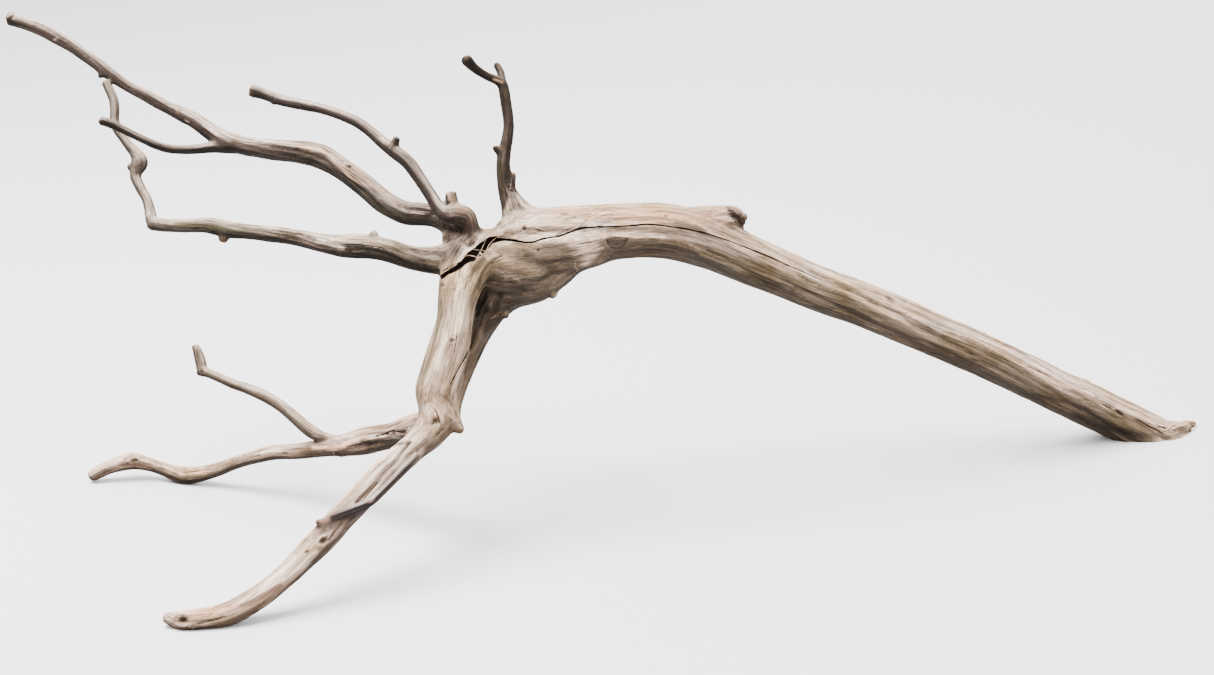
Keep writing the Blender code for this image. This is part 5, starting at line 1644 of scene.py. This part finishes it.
class Shader:
    """Short ways to place and join a material's nodes."""

    def __init__(self, tree: bpy.types.NodeTree) -> None:
        """Work on a node tree."""
        self.tree = tree

    def node(self, kind: str, **values: object) -> bpy.types.Node:
        """Add a node.

        Args:
            kind: The node's type.
            values: Its properties by name.

        Returns:
            The new node.
        """
        made = self.tree.nodes.new(kind)
        for key, value in values.items():
            setattr(made, key, value)
        return made

    def put(self, socket: bpy.types.NodeSocket, value: object) -> None:
        """Feed a socket.

        Args:
            socket: The input.
            value: The output to join to it, or its own plain value.
        """
        if isinstance(value, bpy.types.NodeSocket):
            self.tree.links.new(value, socket)
        else:
            socket.default_value = value

    def math(self, operation: str, first: object, second: object = 0.0, third: object = 0.0,
             clamp: bool = False) -> object:
        """Add a Math node.

        Args:
            operation: Which sum it does.
            first: Its first input.
            second: Its second input.
            third: Its third input.
            clamp: Whether the result is kept from 0 to 1.

        Returns:
            The result's socket.
        """
        made = self.node("ShaderNodeMath", operation=operation, use_clamp=clamp)
        for socket, value in zip(made.inputs, (first, second, third)):
            self.put(socket, value)
        return made.outputs[0]

    def scale(self, vector: object, factors: tuple[float, float, float]) -> object:
        """Stretch a vector.

        Args:
            vector: The vector's socket.
            factors: What each of its parts is multiplied by.

        Returns:
            The result's socket.
        """
        made = self.node("ShaderNodeVectorMath", operation="MULTIPLY")
        self.put(made.inputs[0], vector)
        self.put(made.inputs[1], factors)
        return made.outputs[0]

    def noise(self, vector: object, detail: float, roughness: float = 0.55, warp: float = 0.0) -> object:
        """Add a noise of unit scale.

        Args:
            vector: Where it is read.
            detail: How many finer layers it has.
            roughness: How strong they are.
            warp: How far it is distorted.

        Returns:
            The socket of its value, from 0 to 1.
        """
        made = self.node("ShaderNodeTexNoise")
        self.put(made.inputs["Vector"], vector)
        self.put(made.inputs["Scale"], 1.0)
        self.put(made.inputs["Detail"], detail)
        self.put(made.inputs["Roughness"], roughness)
        self.put(made.inputs["Distortion"], warp)
        return made.outputs[0]

    def step(self, value: object, low: float, high: float) -> object:
        """Ease a value from 0 at low to 1 at high.

        Args:
            value: The value's socket.
            low: Where the result is 0; it may be above high.
            high: Where the result is 1.

        Returns:
            The result's socket.
        """
        made = self.node("ShaderNodeMapRange", interpolation_type="SMOOTHSTEP")
        self.put(made.inputs["Value"], value)
        self.put(made.inputs["From Min"], low)
        self.put(made.inputs["From Max"], high)
        return made.outputs[0]

    def mix(self, share: object, first: object, second: object, blend: str = "MIX") -> object:
        """Mix two colours.

        Args:
            share: How much of the second there is.
            first: The first colour.
            second: The second colour.
            blend: How the second is laid on the first.

        Returns:
            The result's socket.
        """
        made = self.node("ShaderNodeMix", data_type="RGBA", blend_type=blend)
        self.put(made.inputs[0], share)
        self.put(made.inputs[6], first)
        self.put(made.inputs[7], second)
        return made.outputs[2]

    def blend(self, share: object, first: object, second: object) -> object:
        """Mix two values.

        Args:
            share: How much of the second there is.
            first: The first value.
            second: The second value.

        Returns:
            The result's socket.
        """
        made = self.node("ShaderNodeMix", data_type="FLOAT")
        self.put(made.inputs[0], share)
        self.put(made.inputs[2], first)
        self.put(made.inputs[3], second)
        return made.outputs[0]

    def centred(self, value: object) -> object:
        """Shift a value that runs from 0 to 1 so that it runs from -0.5 to 0.5."""
        return self.math("SUBTRACT", value, 0.5)

    def attribute(self, name: str, output: str = "Fac") -> object:
        """Read an attribute of the mesh."""
        made = self.node("ShaderNodeAttribute", attribute_type="GEOMETRY", attribute_name=name)
        return made.outputs[output]


def new_material(name: str) -> tuple[bpy.types.Material, Shader, bpy.types.Node]:
    """Make a material that uses nodes.

    Args:
        name: The material's name.
    """
    material = bpy.data.materials.new(name)
    material.use_nodes = True
    return material, Shader(material.node_tree), material.node_tree.nodes["Principled BSDF"]


def rgba(code: str) -> tuple[float, float, float, float]:
    """Turn a hex colour into a socket's value."""
    return (*linear_rgb(code).tolist(), 1.0)


@dataclass(frozen=True)
class GrainPattern:
    """The pattern of weathered wood along its grain.

    Attributes:
        streak: How often the broad streaks come, across, across and along, for each millimetre.
        fine: The same for the fine lines.
        check: The same for the thin dark checks.
        patch: The same for the pale patches.
    """

    streak: tuple[float, float, float] = (0.38, 0.38, 0.009)
    fine: tuple[float, float, float] = (0.95, 0.95, 0.018)
    check: tuple[float, float, float] = (0.5, 0.5, 0.0075)
    patch: tuple[float, float, float] = (0.05, 0.05, 0.012)

    def group(self) -> bpy.types.NodeTree:
        """Build the node group, once.

        Returns:
            The group, which turns grain coordinates into streak, fine, check and patch values.
        """
        made = bpy.data.node_groups.get("Weathered grain")
        if made is not None:
            return made
        tree = bpy.data.node_groups.new("Weathered grain", "ShaderNodeTree")
        tree.interface.new_socket("Grain", in_out="INPUT", socket_type="NodeSocketVector")
        for name in ("Streak", "Fine", "Check", "Patch"):
            tree.interface.new_socket(name, in_out="OUTPUT", socket_type="NodeSocketFloat")
        kit = Shader(tree)
        entry, leave = kit.node("NodeGroupInput"), kit.node("NodeGroupOutput")
        grain = entry.outputs[0]
        kit.put(leave.inputs["Streak"], kit.noise(kit.scale(grain, self.streak), 5.0, 0.7, 0.2))
        kit.put(leave.inputs["Fine"], kit.noise(kit.scale(grain, self.fine), 3.0, 0.65, 0.2))
        line = kit.noise(kit.scale(grain, self.check), 3.0, 0.7, 0.3)
        line = kit.math("ABSOLUTE", kit.centred(line))
        kit.put(leave.inputs["Check"], kit.step(line, 0.024, 0.005))
        kit.put(leave.inputs["Patch"], kit.noise(kit.scale(grain, self.patch), 2.0, 0.5, 0.6))
        return tree


@dataclass(frozen=True)
class WoodFinish:
    """Bare wood, bleached and in painted light above, browner and in painted shade below, streaked and
    checked along its grain.

    Attributes:
        brown: The raw wood of a broken end.
        deep: The middle of a knot or a hole.
        darkest_painted_shade: The dark streaks inside the cracks, near black as painted shade.
        heart_in_painted_shade: The lighter streaks inside the cracks, the wood's colour darkened as painted
            shade.
        bleached: The palest patches.
        rosy: A warm tint that lies in patches.
        sallow: A yellow tint that lies in clouds.
        pattern: The grain.
        matte: Roughness of the smoothest and the coarsest grain.
        clouds: How often the soft blotches come, for each metre.
        specks: How often the specks of a broken end come, for each metre.
        bump: Strength of the fine relief.
        bump_depth: Its depth, in metres.
    """

    brown: str = "#5d4636"
    deep: str = "#2a1f18"
    darkest_painted_shade: str = "#0d0906"
    heart_in_painted_shade: str = "#3a2a1f"
    bleached: str = "#ece6e0"
    rosy: str = "#fff7f2"
    sallow: str = "#fbf8e8"
    pattern: GrainPattern = GrainPattern()
    matte: tuple[float, float] = (0.95, 0.78)
    clouds: tuple[float, float, float] = (24.0, 24.0, 24.0)
    specks: tuple[float, float, float] = (900.0, 900.0, 900.0)
    bump: float = 0.75
    bump_depth: float = 0.0011

    def grain(self, kit: Shader) -> dict[str, object]:
        """Place the pattern on both limbs that meet at a point, and mix it.

        Args:
            kit: The material's nodes.

        Returns:
            The mixed streak, fine, check and patch values by name.
        """
        share = kit.attribute("near")
        pair = []
        for name in ("grain", "grain_near"):
            made = kit.node("ShaderNodeGroup")
            made.node_tree = self.pattern.group()
            kit.put(made.inputs["Grain"], kit.attribute(name, "Vector"))
            pair.append(made)
        return {name: kit.blend(share, pair[0].outputs[name], pair[1].outputs[name])
                for name in ("Streak", "Fine", "Check", "Patch")}

    def bare_color(self, kit: Shader, grain: dict[str, object], facing: object, cloud: object) -> object:
        """Colour the wood by its facing: bleaching and painted light above, painted shade below, and its
        marks.

        Args:
            kit: The material's nodes.
            grain: The values of the grain pattern.
            facing: How far it faces up or away from the viewer; painted lighter there, and bleached on top.
            cloud: Soft blotches, from 0 to 1.

        Returns:
            The colour before streaks and hollows.
        """
        turn = kit.math("SUBTRACT", facing, kit.attribute("shade"))
        turn = kit.math("MULTIPLY_ADD", kit.centred(cloud), 0.5, turn)
        turn = kit.math("MULTIPLY_ADD", kit.centred(grain["Streak"]), 0.9, turn)
        under, flank = kit.attribute("under", "Color"), kit.attribute("flank", "Color")
        # Painted shade below and painted light above, with the wood's bleaching: under, flank, then crown
        # colour.
        color = kit.mix(kit.step(turn, -0.5, 0.3), under, flank)
        color = kit.mix(kit.step(turn, 0.15, 0.95), color, kit.attribute("crown", "Color"))
        pale = kit.math("MULTIPLY", kit.step(grain["Patch"], 0.52, 0.66), kit.step(turn, 0.2, 0.9))
        color = kit.mix(kit.math("MULTIPLY", pale, 0.5), color, rgba(self.bleached))
        stain_and_painted_light_share = kit.attribute("stain_and_painted_light_share")
        frayed = kit.math("MULTIPLY", kit.centred(grain["Streak"]), kit.step(stain_and_painted_light_share, 0.0, 0.35))
        stain_and_painted_light_share = kit.math("MULTIPLY_ADD", frayed, 2.8, stain_and_painted_light_share, clamp=True)
        return kit.mix(stain_and_painted_light_share, color, kit.attribute("stain_and_painted_light", "Color"))

    def surface(self) -> bpy.types.Material:
        """Make the wood's outer material.

        Returns:
            The material, which reads the attributes of the skin.
        """
        material, kit, shader = new_material("weathered wood")
        grain = self.grain(kit)
        place = kit.node("ShaderNodeTexCoord").outputs["Object"]
        up = kit.node("ShaderNodeSeparateXYZ")
        kit.put(up.inputs[0], kit.node("ShaderNodeNewGeometry").outputs["Normal"])
        cloud = kit.noise(kit.scale(place, self.clouds), 4.0, 0.6)
        # Painted light: faces turned away from the camera count as facing up, so the far side is painted
        # paler.
        far = kit.math("MAXIMUM", up.outputs[1], 0.0)
        facing = kit.math("MULTIPLY_ADD", far, 0.8, up.outputs[2])
        color = self.bare_color(kit, grain, facing, cloud)

        color = kit.mix(kit.step(grain["Patch"], 0.5, 0.66), color, rgba(self.rosy), "MULTIPLY")
        color = kit.mix(kit.step(cloud, 0.5, 0.36), color, rgba(self.sallow), "MULTIPLY")
        coarse = kit.attribute("coarse")
        swing = kit.blend(coarse, 1.1, 2.5)
        # shade multiplies the grain's own streaks and blotches with painted shade and highlights from the
        # skin's shape.
        shade = kit.math("MULTIPLY_ADD", kit.centred(grain["Streak"]), swing, 1.0)
        fine = kit.math("MULTIPLY_ADD", kit.centred(grain["Fine"]), kit.blend(coarse, 2.2, 3.2), 1.0)
        shade = kit.math("MULTIPLY", shade, fine)
        shade = kit.math("MULTIPLY", shade, kit.blend(kit.step(cloud, 0.3, 0.7), 0.88, 1.12))
        hollow, rise = kit.attribute("hollow"), kit.attribute("rise")
        # Painted shade in hollows and furrows, painted highlights on bulges and ridges.
        for depth, start, full, factor in ((hollow, 0.05, 0.5, 0.42), (hollow, -0.06, -0.35, 1.14),
                                           (rise, -0.05, -0.5, 0.76), (rise, 0.05, 0.4, 1.13)):
            shade = kit.math("MULTIPLY", shade, kit.blend(kit.step(depth, start, full), 1.0, factor))
        shade = kit.math("MULTIPLY", shade, kit.blend(grain["Check"], 1.0, 0.5))
        tint = kit.node("ShaderNodeCombineXYZ")
        for socket in tint.inputs:
            kit.put(socket, shade)
        color = kit.mix(1.0, color, tint.outputs[0], "MULTIPLY")
        color = kit.mix(kit.attribute("knot"), color, rgba(self.deep))
        speck = kit.step(kit.noise(kit.scale(place, self.specks), 2.0, 0.6), 0.42, 0.6)
        end = kit.math("MULTIPLY", kit.attribute("end"), kit.blend(speck, 0.75, 0.2))
        color = kit.mix(end, color, rgba(self.brown))
        kit.put(shader.inputs["Base Color"], color)
        kit.put(shader.inputs["Roughness"], kit.blend(grain["Fine"], *self.matte))
        shader.inputs["Specular IOR Level"].default_value = 0.12

        lift = kit.math("MULTIPLY", grain["Fine"], 0.5)
        lift = kit.math("MULTIPLY_ADD", grain["Streak"], kit.blend(coarse, 0.2, 0.6), lift)
        lift = kit.math("MULTIPLY_ADD", grain["Check"], -0.5, lift)
        bump = kit.node("ShaderNodeBump")
        bump.inputs["Strength"].default_value = self.bump
        bump.inputs["Distance"].default_value = self.bump_depth
        kit.put(bump.inputs["Height"], lift)
        kit.put(shader.inputs["Normal"], bump.outputs[0])
        return material

    def inside(self) -> bpy.types.Material:
        """Make the wood inside the cracks, its darker colour deepened into painted shade.

        Returns:
            The material.
        """
        material, kit, shader = new_material("wood inside the cracks")
        grain = self.grain(kit)
        # Painted shade: the crack walls are near black, darker than the wood's own colour.
        color = kit.mix(kit.step(grain["Fine"], 0.35, 0.75), rgba(self.darkest_painted_shade), rgba(self.heart_in_painted_shade))
        kit.put(shader.inputs["Base Color"], color)
        shader.inputs["Roughness"].default_value = self.matte[0]
        shader.inputs["Specular IOR Level"].default_value = 0.1
        return material


@dataclass(frozen=True)
class Studio:
    """A plain pale floor and plain soft light.

    Attributes:
        floor_size: Width of the floor, in metres.
        floor_color: Its sRGB colour.
        surround: Strength of the white surround.
        lamps: Name, place, width and power of each lamp, in metres and watts.
    """

    floor_size: float = 14.0
    floor_color: str = "#f7f7f7"
    surround: float = 1.2
    lamps: tuple[tuple[str, tuple[float, float, float], float, float], ...] = (
        ("key", (-0.9, -0.2, 2.2), 1.5, 190.0),
        ("fill", (1.8, -1.6, 1.4), 2.2, 25.0),
        ("back", (1.0, 2.4, 1.8), 2.2, 80.0),
    )

    def lay_floor(self) -> None:
        """Lay the floor, which is no part of the object."""
        bm = bmesh.new()
        bmesh.ops.create_grid(bm, x_segments=1, y_segments=1, size=self.floor_size / 2)
        floor = placed("floor", settle(bm, bpy.data.meshes.new("floor")))
        material, _, shader = new_material("floor")
        shader.inputs["Base Color"].default_value = rgba(self.floor_color)
        shader.inputs["Roughness"].default_value = 0.9
        floor.data.materials.append(material)

    @staticmethod
    def add_lamp(name: str, at: tuple[float, float, float], size: float, power: float) -> None:
        """Add a soft square lamp aimed at the branch.

        Args:
            name: The lamp's name.
            at: Where it stands, in metres.
            size: Its width, in metres.
            power: Its power, in watts.
        """
        data = bpy.data.lights.new(name, "AREA")
        data.shape = "SQUARE"
        data.size = size
        data.energy = power
        lamp = placed(name, data)
        lamp.location = at
        lamp.rotation_euler = (Vector((0.0, 0.0, 0.15)) - Vector(at)).to_track_quat("-Z", "Y").to_euler()

    def light(self) -> None:
        """Light the branch from above, with a pale surround."""
        for lamp in self.lamps:
            self.add_lamp(*lamp)
        world = bpy.data.worlds.new("studio")
        world.use_nodes = True
        back = world.node_tree.nodes["Background"]
        back.inputs["Color"].default_value = (1.0, 1.0, 1.0, 1.0)
        back.inputs["Strength"].default_value = self.surround
        bpy.context.scene.world = world


def main() -> None:
    """Build the branch, the studio and the camera, and report each."""
    logging.basicConfig(level=logging.INFO, format="%(name)s: %(message)s")
    DriftwoodBranch(LIMBS).build(WoodFinish())
    studio = Studio()
    studio.lay_floor()
    studio.light()
    VIEW.place_camera()
    LOG.info("studio lit and camera placed")


if __name__ == "__main__":
    main()
